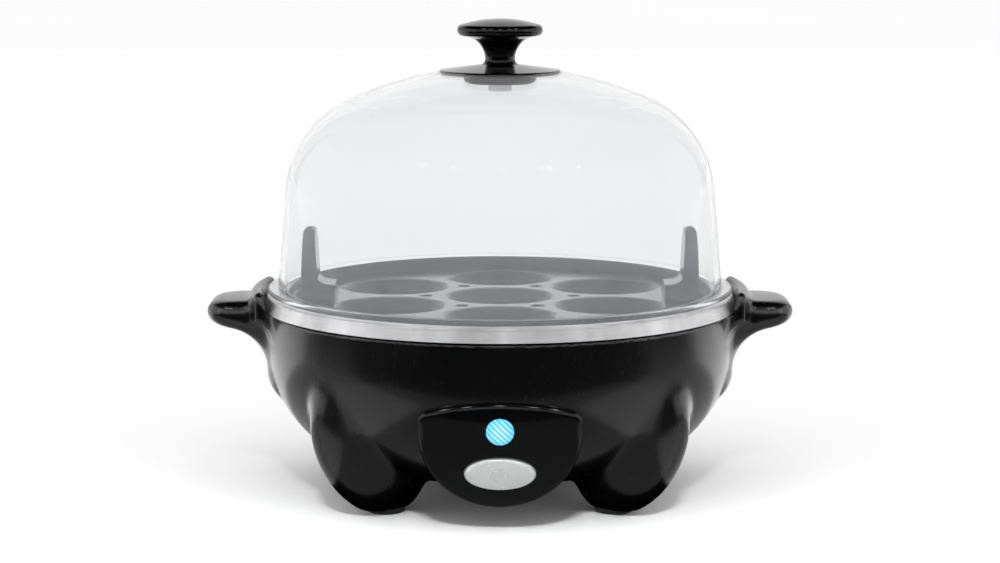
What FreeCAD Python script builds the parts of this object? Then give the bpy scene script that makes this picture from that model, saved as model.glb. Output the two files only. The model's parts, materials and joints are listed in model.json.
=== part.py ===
import FreeCAD, Part
import math
import os
import Sketcher
from FreeCAD import Placement, Rotation, Vector

# Electric egg cooker: a black bowl on four bulging legs, a stainless water pan with a turned-down rim,
# a lift-out egg tray and a clear domed lid. Millimetres, +Z up, the front faces -Y. The origin is on the
# ground, under the centre of the bowl.

os.makedirs("parts", exist_ok=True)
doc = FreeCAD.newDocument("EggCooker")

# ---------------------------------------------------------------- driving dimensions

DIMENSIONS = {
    # overall
    "overall_width": 190.0,
    "wall": 2.4,
    "running_gap": 0.35,
    # bowl of the housing
    "bowl_radius": 75.8,
    "bowl_turn_radius": 40.0,
    "bowl_turn_z": 50.0,
    "bowl_floor_z": 10.0,
    "bowl_shoulder_z": 60.9,
    "lip_radius": 74.6,
    "lip_inner_radius": 72.8,
    "lip_top_z": 63.8,
    # legs, each a leaning ellipsoid that bulges out of the bowl
    "leg_azimuth": 43.0,
    "leg_centre_radius": 55.6,
    "leg_centre_z": 24.4,
    "leg_long": 27.0,
    "leg_radial": 19.0,
    "leg_tangential": 14.2,
    "leg_lean": 30.0,
    "leg_flat_z": 1.0,
    "foot_radius": 6.0,
    "foot_depth": 2.6,
    # side handles
    "handle_half_width": 14.8,
    "handle_corner_radius": 9.5,
    "handle_top_z": 64.2,
    "handle_flat_x": 82.4,
    "handle_tip_top_z": 63.3,
    "handle_tip_bottom_z": 56.25,
    "handle_round": 2.5,
    "handle_root_x": 66.0,
    "fairing_radius": 14.0,
    "fairing_top_x": 87.23,
    "fairing_top_z": 54.74,
    "fairing_waist_x": 75.9,
    "fairing_waist_z": 41.0,
    "fairing_tail_radius": 12.0,
    "fairing_tail_x": 70.53,
    "fairing_tail_z": 31.0,
    "collar_inner_radius": 77.2,
    "collar_outer_radius": 80.4,
    "collar_top_z": 67.7,
    "collar_base_z": 56.0,
    "collar_half_angle": 14.5,
    # water pan
    "sheet": 0.8,
    "pan_floor_z": 50.0,
    "pan_floor_radius": 56.0,
    "pan_ledge_z": 62.0,
    "pan_ledge_inner": 65.8,
    "pan_ledge_outer": 70.2,
    "pan_rim_z": 65.8,
    "band_top_radius": 75.7,
    "band_bottom_radius": 76.7,
    "band_bottom_z": 61.2,
    # lid
    "dome_foot_z": 66.0,
    "dome_foot_top_z": 67.7,
    "dome_foot_radius": 75.4,
    "dome_wall": 1.8,
    "dome_base_radius": 72.2,
    "dome_wall_top_radius": 69.2,
    "dome_wall_top_z": 99.9,
    "dome_shoulder_radius": 34.0,
    "dome_shoulder_end_x": 49.3,
    "dome_shoulder_end_z": 127.98,
    "dome_crown_radius": 120.0,
    "dome_seat_radius": 20.0,
    "dome_seat_z": 136.9,
    "dome_hole_radius": 2.4,
    "vent_radius": 1.8,
    "vent_offset": 30.0,
    # knob
    "knob_foot_radius": 19.5,
    "knob_foot_edge": 0.45,
    "knob_cone_z": 139.2,
    "knob_stem_radius": 4.85,
    "knob_stem_top_z": 141.8,
    "knob_flare_radius": 9.0,
    "knob_flare_z": 147.6,
    "knob_under_radius": 13.0,
    "knob_under_z": 148.6,
    "knob_shoulder_radius": 12.9,
    "knob_shoulder_z": 151.9,
    "knob_top_z": 153.9,
    # egg tray
    "tray_radius": 69.6,
    "tray_bottom_z": 62.25,
    "tray_thickness": 1.6,
    "tray_lip_top_z": 67.2,
    "tray_lip_width": 1.3,
    "cup_pitch_radius": 40.2,
    "cup_mouth_radius": 17.2,
    "cup_throat_radius": 13.6,
    "cup_bottom_z": 58.0,
    "cup_wall": 1.4,
    "lug_centre_x": 61.75,
    "lug_thickness": 5.3,
    "lug_taper": 0.8,
    "lug_width": 13.0,
    "lug_top_z": 86.8,
    "lug_foot_top_z": 70.5,
    "lug_foot_inner_x": 53.2,
    "lug_foot_outer_x": 67.9,
    # control pod
    "pod_radius": 25.0,
    "pod_centre_z": 33.1,
    "pod_corner_z": 36.15,
    "pod_corner_radius": 4.4,
    "pod_arch_radius": 75.2,
    "pod_face_radius": 57.0,
    "pod_face_centre_r": 19.4,
    "pod_face_centre_z": 44.0,
    "pod_round": 2.6,
    "lens_z": 34.1,
    "lens_radius": 4.2,
    "button_z": 20.0,
    "button_half_width": 10.8,
    "button_half_height": 6.1,
    "pod_screw_x": 19.0,
    "pod_screw_z": 37.0,
    "board_pillar_x": 18.0,
    "board_pillar_z": 30.0,
    "board_back_y": -50.35,
    # fixings
    "screw_circle": 30.0,
    "post_radius": 4.8,
    "post_top_z": 42.0,
    "floor_opening": 22.0,
    "cover_radius": 35.0,
    # heater
    "diffuser_radius": 42.0,
    "diffuser_thickness": 2.8,
    "element_ring": 20.0,
    "element_tube": 3.2,
    # mains inlet at the back
    "gland_z": 24.0,
    "gland_radius": 6.2,
    "gland_boss_radius": 9.0,
    "gland_inner_y": 48.0,
    "gland_boss_length": 24.0,
    "block_x": -20.0,
    "block_y": 42.0,
    "block_pole_pitch": 4.2,
    "cord_radius": 3.3,
}


class Size:
    """A length with its value and the sheet expression that it comes from."""

    def __init__(self, value, text):
        self.value = value
        self.text = text

    def __add__(self, other):
        return Size(self.value + number(other), "(%s + %s)" % (self.text, words(other)))

    def __sub__(self, other):
        return Size(self.value - number(other), "(%s - %s)" % (self.text, words(other)))

    def __mul__(self, factor):
        return Size(self.value * factor, "(%s * %s)" % (self.text, factor))

    def __neg__(self):
        return self * -1.0


def number(item):
    return item.value if isinstance(item, Size) else float(item)


def words(item):
    return item.text if isinstance(item, Size) else "%.6g" % item


def make_sheet():
    """The spreadsheet of driving dimensions, one alias to a row."""
    sheet = doc.addObject("Spreadsheet::Sheet", "Sizes")
    for row, (alias, value) in enumerate(DIMENSIONS.items(), start=1):
        sheet.set("A%d" % row, alias)
        sheet.set("B%d" % row, "%g" % value)
        sheet.setAlias("B%d" % row, alias)
    return sheet


def size(alias):
    return Size(DIMENSIONS[alias], "Sizes.%s" % alias)


make_sheet()
doc.recompute()

# ---------------------------------------------------------------- building helpers


def bind(item, name, value):
    """Bind one property to the sheet, or set it when it is a plain number."""
    if isinstance(value, Size):
        item.setExpression(name, value.text)
    else:
        setattr(item, name, value)


def place(item, at, rotation=None):
    """Put an object somewhere; the coordinates may be sizes."""
    item.Placement = Placement(Vector(*[number(c) for c in at]), rotation or Rotation())
    for axis, coordinate in zip("xyz", at):
        if isinstance(coordinate, Size):
            item.setExpression("Placement.Base.%s" % axis, coordinate.text)
    return item


def cylinder(radius, height, at=(0, 0, 0), rotation=None, label=None):
    item = doc.addObject("Part::Cylinder", label or "Cylinder")
    bind(item, "Radius", radius)
    bind(item, "Height", height)
    return place(item, at, rotation)


def box(length, width, height, at, rotation=None, label=None):
    """A box centred on x and y, standing on at."""
    item = doc.addObject("Part::Box", label or "Box")
    for name, value in (("Length", length), ("Width", width), ("Height", height)):
        bind(item, name, value)
    turn = rotation or Rotation()
    shift = turn.multVec(Vector(number(length) / -2.0, number(width) / -2.0, 0))
    return place(item, (number(at[0]) + shift.x, number(at[1]) + shift.y, number(at[2]) + shift.z), turn)


def torus(ring, tube, at, rotation=None, sweep=360.0, label=None):
    item = doc.addObject("Part::Torus", label or "Torus")
    bind(item, "Radius1", ring)
    bind(item, "Radius2", tube)
    item.Angle3 = sweep
    return place(item, at, rotation)


def fuse(parts, label=None):
    if len(parts) == 1:
        return parts[0]
    item = doc.addObject("Part::MultiFuse", label or "Fuse")
    item.Shapes = parts
    return item


def cut(base, tools, label=None):
    item = doc.addObject("Part::Cut", label or "Cut")
    item.Base = base
    item.Tool = fuse(tools) if isinstance(tools, list) else tools
    return item


def common(first, second, label=None):
    item = doc.addObject("Part::MultiCommon", label or "Common")
    item.Shapes = [first, second]
    return item


def group(parts, label):
    """Identical fasteners that share one node, each still a solid of its own."""
    item = doc.addObject("Part::Compound", label)
    item.Links = parts
    return item


def arc_geometry(start, end, radius):
    """The arc of a given radius from start to end: a negative radius turns clockwise."""
    chord = end - start
    middle = (start + end) * 0.5
    normal = Vector(-chord.y, chord.x, 0).normalize()
    reach = math.sqrt(max(radius * radius - chord.Length * chord.Length / 4.0, 0.0))
    centre = middle + normal * (reach if radius > 0 else -reach)
    first, last = (start, end) if radius > 0 else (end, start)
    begin = math.atan2(first.y - centre.y, first.x - centre.x)
    finish = math.atan2(last.y - centre.y, last.x - centre.x)
    return Part.ArcOfCircle(Part.Circle(centre, Vector(0, 0, 1), abs(radius)), begin, finish)


def draw(sketch, points, closed=True):
    """Draw an outline of (x, y) or (x, y, arc radius to the next point), each value held by the sheet."""
    corners = [Vector(number(p[0]), number(p[1]), 0) for p in points]
    count = len(points) if closed else len(points) - 1
    for index in range(count):
        start = corners[index]
        end = corners[(index + 1) % len(points)]
        if len(points[index]) > 2:
            edge = arc_geometry(start, end, number(points[index][2]))
        else:
            edge = Part.LineSegment(start, end)
        sketch.addGeometry(edge)
    for index in range(count):
        radius = number(points[index][2]) if len(points[index]) > 2 else 1.0
        start_vertex, end_vertex = (1, 2) if radius > 0 else (2, 1)
        pin_point(sketch, index, start_vertex, points[index])
        chord = (corners[(index + 1) % len(points)] - corners[index]).Length
        if len(points[index]) > 2 and chord < 1.999 * abs(radius):
            value = points[index][2]
            constraint = sketch.addConstraint(Sketcher.Constraint("Radius", index, abs(radius)))
            if isinstance(value, Size):
                positive = value if value.value > 0 else -value
                sketch.setExpression("Constraints[%d]" % constraint, positive.text)
        follower = (index + 1) % len(points)
        if follower < count:
            next_radius = number(points[follower][2]) if len(points[follower]) > 2 else 1.0
            next_vertex = 1 if next_radius > 0 else 2
            joined = Sketcher.Constraint("Coincident", index, end_vertex, follower, next_vertex)
            sketch.addConstraint(joined)
        else:
            pin_point(sketch, index, end_vertex, points[follower])


def pin_point(sketch, geometry, vertex, point):
    """Hold one end of an edge at its x and y, each bound to the sheet."""
    for kind, value in (("DistanceX", point[0]), ("DistanceY", point[1])):
        item = Sketcher.Constraint(kind, -1, 1, geometry, vertex, number(value))
        constraint = sketch.addConstraint(item)
        if isinstance(value, Size):
            sketch.setExpression("Constraints[%d]" % constraint, value.text)


def thickened(upper, thickness):
    """Close an open line into a sheet of even thickness, laid on the right-hand side of its direction."""
    corners = [Vector(number(p[0]), number(p[1]), 0) for p in upper]
    lower = []
    for index, corner in enumerate(corners):
        headings = []
        for first in (index - 1, index):
            if 0 <= first < len(corners) - 1 and len(upper[first]) == 2:
                headings.append((corners[first + 1] - corners[first]).normalize())
        heading = headings[0] if len(headings) == 1 else (headings[0] + headings[1]).normalize()
        lower.append((upper[index][0] + heading.y * thickness, upper[index][1] - heading.x * thickness))
    section = [tuple(lower[0])]
    for index in range(1, len(upper)):
        if len(upper[index - 1]) > 2:
            section[-1] = section[-1] + (upper[index - 1][2] + thickness,)
        section.append(lower[index])
    section.append(tuple(upper[-1][:2]))
    for index in range(len(upper) - 2, -1, -1):
        if len(upper[index]) > 2:
            section[-1] = section[-1] + (-upper[index][2],)
        section.append(tuple(upper[index][:2]))
    return section


UPRIGHT = Rotation(Vector(1, 0, 0), 90)       # sketch x, y on the model's X, Z
SIDEWAYS = Rotation(Vector(1, 1, 1), 120)     # sketch x, y on the model's Y, Z


def free_sketch(points, rotation=None, at=(0, 0, 0), closed=True):
    sketch = doc.addObject("Sketcher::SketchObject", "Profile")
    place(sketch, at, rotation)
    draw(sketch, points, closed)
    return sketch


def extrude(sketch, direction, forward, backward=0.0):
    item = doc.addObject("Part::Extrusion", "Extrude")
    item.Base = sketch
    item.DirMode = "Custom"
    item.Dir = direction
    bind(item, "LengthFwd", forward)
    bind(item, "LengthRev", backward)
    item.Solid = True
    return item


def revolve(sketch, label=None, angle=360.0, axis=Vector(0, 0, 1), base=Vector(0, 0, 0)):
    item = doc.addObject("Part::Revolution", label or "Revolve")
    item.Source = sketch
    item.Axis = axis
    item.Base = base
    item.Angle = angle
    item.Solid = True
    return item


def fillet(base, edges, radius, label=None):
    """Round the edges of a Part solid; edges is a list of edge numbers."""
    item = doc.addObject("Part::Fillet", label or "Fillet")
    item.Base = base
    item.Edges = [(edge, radius, radius) for edge in edges]
    return item


def edge_numbers(shape, test):
    """The numbers of a shape's edges that pass a test."""
    return [index for index, edge in enumerate(shape.Edges, start=1) if test(edge)]


def origin_plane(body, role):
    return next(feature for feature in body.Origin.OriginFeatures if feature.Role == role)


def body_sketch(body, name, points, role="XZ_Plane", offset=0.0):
    """A closed outline on one of the body's origin planes, or parallel to it."""
    sketch = body.newObject("Sketcher::SketchObject", name)
    sketch.AttachmentSupport = (origin_plane(body, role), [""])
    sketch.MapMode = "FlatFace"
    if isinstance(offset, Size):
        sketch.setExpression("AttachmentOffset.Base.z", offset.text)
        offset = offset.value
    sketch.AttachmentOffset = Placement(Vector(0, 0, offset), Rotation())
    draw(sketch, points)
    return sketch


def body_revolution(body, name, points):
    """A full turn of an outline about the body's Z axis."""
    sketch = body_sketch(body, name + "_profile", points)
    item = body.newObject("PartDesign::Revolution", name)
    item.Profile = sketch
    item.ReferenceAxis = (sketch, ["V_Axis"])
    item.Angle = 360
    return item


def circle_sketch(body, name, circles, offset=0.0):
    """A sketch on the body's XY plane of circles (x, y, radius), each bound to the sheet."""
    sketch = body_sketch(body, name, [], "XY_Plane", offset)
    for index, (x, y, radius) in enumerate(circles):
        centre = Vector(number(x), number(y), 0)
        sketch.addGeometry(Part.Circle(centre, Vector(0, 0, 1), number(radius)))
        pin_point(sketch, index, 3, (x, y))
        constraint = sketch.addConstraint(Sketcher.Constraint("Radius", index, number(radius)))
        if isinstance(radius, Size):
            sketch.setExpression("Constraints[%d]" % constraint, radius.text)
    return sketch


def body_drill(body, name, circles, offset=0.0, depth=None, upward=False):
    """Cut round holes through a body, down from the offset plane or up from it."""
    item = body.newObject("PartDesign::Pocket", name)
    item.Profile = circle_sketch(body, name + "_circles", circles, offset)
    item.Reversed = upward
    if depth is None:
        item.Type = "ThroughAll"
    else:
        bind(item, "Length", depth)
    return item


def body_polar(body, feature, count, name):
    """Repeat a feature about the body's Z axis, and make the pattern the tip."""
    item = body.newObject("PartDesign::PolarPattern", name)
    item.Originals = [feature]
    item.Axis = (origin_plane(body, "Z_Axis"), [""])
    item.Angle = 360.0
    item.Occurrences = count
    body.Tip = item
    return item


def polar(radius, degrees, z=0.0):
    angle = math.radians(degrees)
    return (number(radius) * math.cos(angle), number(radius) * math.sin(angle), z)


NODES = []


def node(item, name):
    """Name a finished sub-part; the name is its file's name."""
    item.Label = name
    NODES.append(item)
    return item


def screw(at, rotation, shank, length, head, head_height, slot=1.2):
    """A pan-head screw along its local +Z, head below the local origin, with a cross recess."""
    stem = cylinder(shank, length)
    cap = cylinder(head, head_height, (0, 0, -head_height))
    bars = [box(slot / 2.0, slot * 2.2, 0.9, (0, 0, -head_height - 0.1)),
            box(slot * 2.2, slot / 2.0, 0.9, (0, 0, -head_height - 0.1))]
    return place(cut(fuse([stem, cap]), bars, "Screw"), at, rotation)


DOWN = Rotation(Vector(1, 0, 0), 180)
TOWARDS_BACK = Rotation(Vector(1, 0, 0), -90)     # local +Z to +Y
TOWARDS_FRONT = Rotation(Vector(1, 0, 0), 90)     # local +Z to -Y

POST_AZIMUTHS = (90, 210, 330)
COVER_AZIMUTHS = (30, 150, 270)
STRAP_SCREW_X = 11.8
ELEMENT_OPENING = 56.0
COLD_END_DROP = 8.0
BEYOND = 30.0                                     # how far cutting blocks reach past what they cut
OUTER_CUPS = 6
FOOT_SOCKET_DROP = 0.6                            # how far a foot's socket tool starts below the leg's flat
# where each leg's azimuth is counted from, and which way
LEG_TURNS = {"rear_right": (0.0, 1.0), "rear_left": (180.0, -1.0),
             "front_left": (180.0, 1.0), "front_right": (360.0, -1.0)}


# ---------------------------------------------------------------- lid


def make_lid_dome():
    """Clear dome with a flat seat for the knob, a bead foot and one small steam vent behind the knob."""
    body = doc.addObject("PartDesign::Body", "lid_dome")
    body_revolution(body, "Bell", [
        (0, size("dome_foot_z")),
        (size("dome_base_radius"), size("dome_foot_z")),
        (size("dome_wall_top_radius"), size("dome_wall_top_z"), size("dome_shoulder_radius")),
        (size("dome_shoulder_end_x"), size("dome_shoulder_end_z"), size("dome_crown_radius")),
        (size("dome_seat_radius"), size("dome_seat_z")),
        (0, size("dome_seat_z")),
    ])
    doc.recompute()
    bell = body.Tip
    lowest = min(range(len(bell.Shape.Faces)), key=lambda i: bell.Shape.Faces[i].CenterOfMass.z)
    shell = body.newObject("PartDesign::Thickness", "Shell")
    shell.Base = (bell, ["Face%d" % (lowest + 1)])
    shell.Reversed = True
    shell.setExpression("Value", size("dome_wall").text)
    half = (DIMENSIONS["dome_foot_top_z"] - DIMENSIONS["dome_foot_z"]) / 2.0
    body_revolution(body, "Foot", [
        (size("dome_base_radius") - 1.2, size("dome_foot_z")),
        (size("dome_foot_radius") - half, size("dome_foot_z"), half),
        (size("dome_foot_radius") - half, size("dome_foot_top_z")),
        (size("dome_base_radius") - 1.2, size("dome_foot_top_z")),
    ])
    body_drill(body, "Holes", [
        (0, 0, size("dome_hole_radius")),
        (0, size("vent_offset"), size("vent_radius")),
    ], offset=120.0, upward=True)
    return node(body, "lid_dome")


def make_lid_knob():
    """Turned knob: broad shallow foot, waisted stem and a flat mushroom cap, bored for its screw."""
    body = doc.addObject("PartDesign::Body", "lid_knob")
    foot_z = size("dome_seat_z") + 0.1
    body_revolution(body, "Turning", [
        (0, foot_z),
        (size("knob_foot_radius"), foot_z),
        (size("knob_foot_radius"), foot_z + size("knob_foot_edge")),
        (size("knob_stem_radius") + 1.4, size("knob_cone_z"), -1.7),
        (size("knob_stem_radius"), size("knob_cone_z") + 1.5),
        (size("knob_stem_radius"), size("knob_stem_top_z"), -8.0),
        (size("knob_flare_radius"), size("knob_flare_z")),
        (size("knob_under_radius"), size("knob_under_z"), 1.95),
        (size("knob_shoulder_radius"), size("knob_shoulder_z"), 42.0),
        (1.0, size("knob_top_z")),
        (0, size("knob_top_z")),
    ])
    body_drill(body, "Bore", [(0, 0, 2.05)], offset=foot_z - 1.0, depth=12.5, upward=True)
    groove = body.newObject("PartDesign::Groove", "SealGroove")
    groove.Profile = body_sketch(body, "SealGroove_profile", [
        (8.0, foot_z - 0.5), (12.0, foot_z - 0.5), (12.0, foot_z + 0.9), (8.0, foot_z + 0.9)])
    groove.ReferenceAxis = (groove.Profile[0], ["V_Axis"])
    groove.Angle = 360
    return node(body, "lid_knob")


def make_knob_seal():
    """Silicone ring in the knob's groove, resting on the dome's seat."""
    seat = size("dome_seat_z")
    ring = revolve(free_sketch([(8.3, seat), (11.7, seat), (11.7, seat + 0.7, 0.5), (11.2, seat + 0.9),
                                (8.8, seat + 0.9, 0.5), (8.3, seat + 0.7)], UPRIGHT), "KnobSeal")
    return node(ring, "knob_seal")


def make_knob_washer():
    """Dished washer that clamps the dome from below."""
    top = size("dome_seat_z") - size("dome_wall")
    washer = revolve(free_sketch([(2.3, top - 2.4), (9.5, top - 2.4, 3.2), (11.8, top - 0.7),
                                  (11.8, top), (2.3, top)], UPRIGHT), "KnobWasher")
    return node(washer, "knob_washer")


def make_knob_screw():
    seat = size("dome_seat_z").value - size("dome_wall").value - 2.4
    return node(screw((0, 0, seat), None, 2.0, 14.5, 3.8, 2.2, slot=1.6), "knob_screw")


# ---------------------------------------------------------------- egg tray


def make_egg_tray():
    """Smoky tray: rimmed plate, one centre cup and six around it, drain holes and two finger lugs."""
    bottom = size("tray_bottom_z")
    top = bottom + size("tray_thickness")
    body = doc.addObject("PartDesign::Body", "TrayBody")
    radius = size("tray_radius")
    body_revolution(body, "Plate", [
        (0, bottom),
        (radius - 0.6, bottom),
        (radius, bottom + 0.6),
        (radius, size("tray_lip_top_z") - 0.6, 0.65),
        (radius - size("tray_lip_width"), size("tray_lip_top_z") - 0.6),
        (radius - size("tray_lip_width") - 0.5, top + 0.8, -0.8),
        (radius - size("tray_lip_width") - 1.3, top),
        (0, top),
    ])
    throat = size("cup_throat_radius")
    mouth = size("cup_mouth_radius")
    wall = size("cup_wall")
    low = size("cup_bottom_z")
    body_revolution(body, "CentreCup", [
        (throat, low), (throat + wall, low), (mouth + wall, top - 0.4), (mouth, top - 0.4)])
    outer_cup = revolve(free_sketch([
        (throat, low), (throat + wall, low), (mouth + wall, top - 0.4), (mouth, top - 0.4)], UPRIGHT))
    seat = revolve(free_sketch([
        (0, low - 1.0), (throat, low - 1.0), (throat, low), (mouth, top - 0.3, 1.2),
        (mouth + 0.8, top + 0.01), (mouth + 0.8, top + 2.0), (0, top + 2.0)], UPRIGHT))
    cups = []
    mouths = [seat]
    pitch = 360.0 / OUTER_CUPS
    for index in range(OUTER_CUPS):
        x, y, _ = polar(size("cup_pitch_radius"), pitch * (index + 0.5))
        cups.append(place(linked_copy(outer_cup), (x, y, 0)))
        mouths.append(place(linked_copy(seat), (x, y, 0)))
    below = bottom.value - 2.0
    drains = [cylinder(2.2, 6.0, polar(24.0, pitch * index, below)) for index in range(OUTER_CUPS)]
    slots = []
    for index in (1, 2, 4, 5):
        x, y, _ = polar(59.5, pitch * index)
        turn = Rotation(Vector(0, 0, 1), pitch * index)
        slots.append(box(3.0, 12.0, 6.0, (x, y, below), turn))
    lugs = [make_tray_lug(side, top) for side in (1, -1)]
    tray = cut(fuse([body] + cups + lugs, "TrayBlank"), mouths + drains + slots, "Tray")
    return node(tray, "egg_tray")


def linked_copy(source):
    """Another placed copy of a document object."""
    item = doc.addObject("Part::Compound", "Copy")
    item.Links = [source]
    return item


def make_tray_lug(side, top):
    """Upright finger lug: round-topped tab on a flared foot."""
    inner = size("lug_centre_x") - size("lug_thickness") * 0.5
    outer = size("lug_centre_x") + size("lug_thickness") * 0.5
    round_top = size("lug_top_z") - 1.3
    taper = size("lug_taper")
    foot = top - 0.6
    neck = size("lug_foot_top_z")
    profile = [
        (size("lug_foot_inner_x"), foot), (size("lug_foot_outer_x"), foot, -5.6),
        (outer, neck), (outer - taper, round_top, 2.0), (inner + taper, round_top), (inner, neck, -3.4),
        (inner - 2.6, neck - 1.9), (size("lug_foot_inner_x") + 0.3, neck - 2.3)]
    if side < 0:
        profile = mirrored(profile)
    half = size("lug_width") * 0.5
    blade = extrude(free_sketch(profile, UPRIGHT), Vector(0, 1, 0), half + 4.0, half + 4.0)
    shoulder = size("lug_top_z") - half
    face = free_sketch([
        (-(half + 4.0), foot - 0.1), (half + 4.0, foot - 0.1, -9.0), (half, neck + 3.0),
        (half, shoulder, half),
        (0, size("lug_top_z"), half), (-half, shoulder), (-half, neck + 3.0, -9.0)], SIDEWAYS)
    outline = extrude(face, Vector(1, 0, 0), 80.0, 80.0)
    return common(blade, outline, "Lug")


def mirrored(points):
    """An outline mirrored in its y axis, still drawn in the same sense."""
    count = len(points)
    result = []
    for index in range(count):
        point = points[(count - index) % count]
        before = points[(count - index - 1) % count]
        result.append((-point[0], point[1]) + tuple(before[2:]))
    return result


# ---------------------------------------------------------------- water pan


def make_water_pan():
    """Pressed stainless pan: flat floor, sloping wall, tray ledge, rim and turned-down outer band."""
    rim = size("pan_rim_z")
    bend = 1.2
    upper = [
        (0, size("pan_floor_z")),
        (size("pan_floor_radius"), size("pan_floor_z"), 4.0),
        (size("pan_floor_radius") + 3.5, size("pan_floor_z") + 2.05),
        (size("pan_ledge_inner") - bend, size("pan_ledge_z") - 0.68, -1.4),
        (size("pan_ledge_inner"), size("pan_ledge_z")),
        (size("pan_ledge_outer") - 1.0, size("pan_ledge_z"), 1.0),
        (size("pan_ledge_outer"), size("pan_ledge_z") + 1.0),
        (size("pan_ledge_outer"), rim - bend, -bend),
        (size("pan_ledge_outer") + bend, rim),
        (size("band_top_radius") - bend, rim, -bend),
        (size("band_top_radius"), rim - bend),
        (size("band_bottom_radius"), size("band_bottom_z")),
    ]
    section = thickened(upper, DIMENSIONS["sheet"])
    return node(revolve(free_sketch(section, UPRIGHT), "WaterPan"), "water_pan")


def make_pan_gasket():
    """Silicone ring between the housing's lip and the underside of the pan's rim."""
    low = size("lip_top_z")
    high = size("pan_rim_z") - size("sheet")
    inner = size("lip_inner_radius") + 0.1
    outer = size("lip_radius") - 0.2
    section = free_sketch([(inner, low), (outer, low), (outer, high - 0.05), (inner, high - 0.05)], UPRIGHT)
    return node(revolve(section, "PanGasket"), "pan_gasket")


# ---------------------------------------------------------------- heater under the pan


def heater_levels():
    """Height of the pan's underside and of the diffuser's underside."""
    under_pan = size("pan_floor_z") - size("sheet")
    return under_pan, under_pan - size("diffuser_thickness")


def make_heat_diffuser():
    """Aluminium plate under the pan's floor, cleared for the standoffs and tapped for the strap."""
    under_pan, under_plate = heater_levels()
    body = doc.addObject("PartDesign::Body", "heat_diffuser")
    radius = size("diffuser_radius")
    body_revolution(body, "Disc", [
        (0, under_plate), (radius - 0.6, under_plate, 0.6), (radius, under_plate + 0.6),
        (radius, under_pan), (0, under_pan)])
    body_drill(body, "StrapHoles", [(STRAP_SCREW_X, 0, 1.25), (-STRAP_SCREW_X, 0, 1.25)],
               offset=under_plate - 1.0, depth=3.2, upward=True)
    hole = body_drill(body, "StandoffHole", [(0, size("screw_circle"), 3.5)], offset=30.0, upward=True)
    body_polar(body, hole, 3, "StandoffHoles")
    return node(body, "heat_diffuser")


def cold_end_azimuths():
    """Where the element's two ends leave its ring."""
    return 90 - ELEMENT_OPENING / 2.0, 90 + ELEMENT_OPENING / 2.0


def make_heater_element():
    """Sheathed C-shaped element with its two cold ends turned down."""
    _, under_plate = heater_levels()
    level = under_plate - size("element_tube")
    parts = [torus(size("element_ring"), size("element_tube"), (0, 0, level),
                   Rotation(Vector(0, 0, 1), 90 + ELEMENT_OPENING / 2.0), 360.0 - ELEMENT_OPENING)]
    for turn in cold_end_azimuths():
        x, y, _ = polar(size("element_ring"), turn)
        knee = doc.addObject("Part::Sphere", "Knee")
        bind(knee, "Radius", size("element_tube"))
        parts.append(place(knee, (x, y, level)))
        parts.append(cylinder(size("element_tube"), COLD_END_DROP, (x, y, level.value - COLD_END_DROP)))
    return node(fuse(parts, "HeaterElement"), "heater_element")


def make_heater_terminals():
    """Ceramic bead and blade on each cold end of the element."""
    _, under_plate = heater_levels()
    base = under_plate.value - DIMENSIONS["element_tube"] - COLD_END_DROP
    items = []
    for turn in cold_end_azimuths():
        x, y, _ = polar(size("element_ring"), turn)
        bead = cylinder(2.4, 2.5, (x, y, base - 2.5))
        blade = box(4.8, 0.8, 6.5, (x, y, base - 9.0))
        items.append(fuse([bead, blade]))
    return node(group(items, "HeaterTerminals"), "heater_terminals")


def make_pan_standoffs():
    """Threaded bushes welded under the pan."""
    under_pan, _ = heater_levels()
    height = under_pan.value - DIMENSIONS["post_top_z"] - 0.2
    items = []
    for turn in POST_AZIMUTHS:
        x, y, _ = polar(size("screw_circle"), turn)
        bush = cylinder(3.0, height, (x, y, DIMENSIONS["post_top_z"] + 0.2))
        thread = cylinder(1.55, height - 1.0, (x, y, DIMENSIONS["post_top_z"] + 0.1))
        items.append(cut(bush, thread))
    return node(group(items, "PanStandoffs"), "pan_standoffs")


def make_pan_screws():
    """Long screws, up through the housing's posts into the pan's standoffs."""
    places = [polar(size("screw_circle"), turn, 34.0) for turn in POST_AZIMUTHS]
    items = [screw(at, None, 1.5, 12.5, 2.8, 2.0) for at in places]
    return node(group(items, "PanScrews"), "pan_screws")


def make_thermostat():
    """Snap-disc thermostat against the diffuser, with two blade terminals."""
    _, under_plate = heater_levels()
    top = under_plate.value
    cup = revolve(free_sketch([
        (0, top - 9.5), (7.4, top - 9.5), (7.4, top - 3.2), (8.2, top - 3.2), (8.2, top - 0.6, 0.6),
        (7.6, top), (0, top)], UPRIGHT))
    blades = [box(0.8, 4.8, 7.0, (side * 4.0, 0, top - 16.4)) for side in (1, -1)]
    return node(fuse([cup] + blades, "Thermostat"), "thermostat")


def make_thermostat_strap():
    """Sprung strap that holds the thermostat's flange up, with a screw foot at each end."""
    _, under_plate = heater_levels()
    top = under_plate.value
    bar = [(-14.0, top - 1.0), (-9.5, top - 1.0), (-9.5, top - 4.2), (9.5, top - 4.2), (9.5, top - 1.0),
           (14.0, top - 1.0), (14.0, top), (8.7, top), (8.7, top - 3.4), (-8.7, top - 3.4), (-8.7, top),
           (-14.0, top)]
    strap = extrude(free_sketch(bar, UPRIGHT), Vector(0, 1, 0), 8.5, 8.5)
    holes = [cylinder(7.6, 6.0, (0, 0, top - 6.0))]
    holes += [cylinder(1.3, 4.0, (side * STRAP_SCREW_X, 0, top - 2.0)) for side in (1, -1)]
    return node(cut(strap, holes, "ThermostatStrap"), "thermostat_strap")


def make_strap_screws():
    _, under_plate = heater_levels()
    items = [screw((side * STRAP_SCREW_X, 0, under_plate.value - 1.0), None, 1.2, 3.0, 2.1, 1.3, slot=1.0)
             for side in (1, -1)]
    return node(group(items, "StrapScrews"), "strap_screws")


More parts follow.
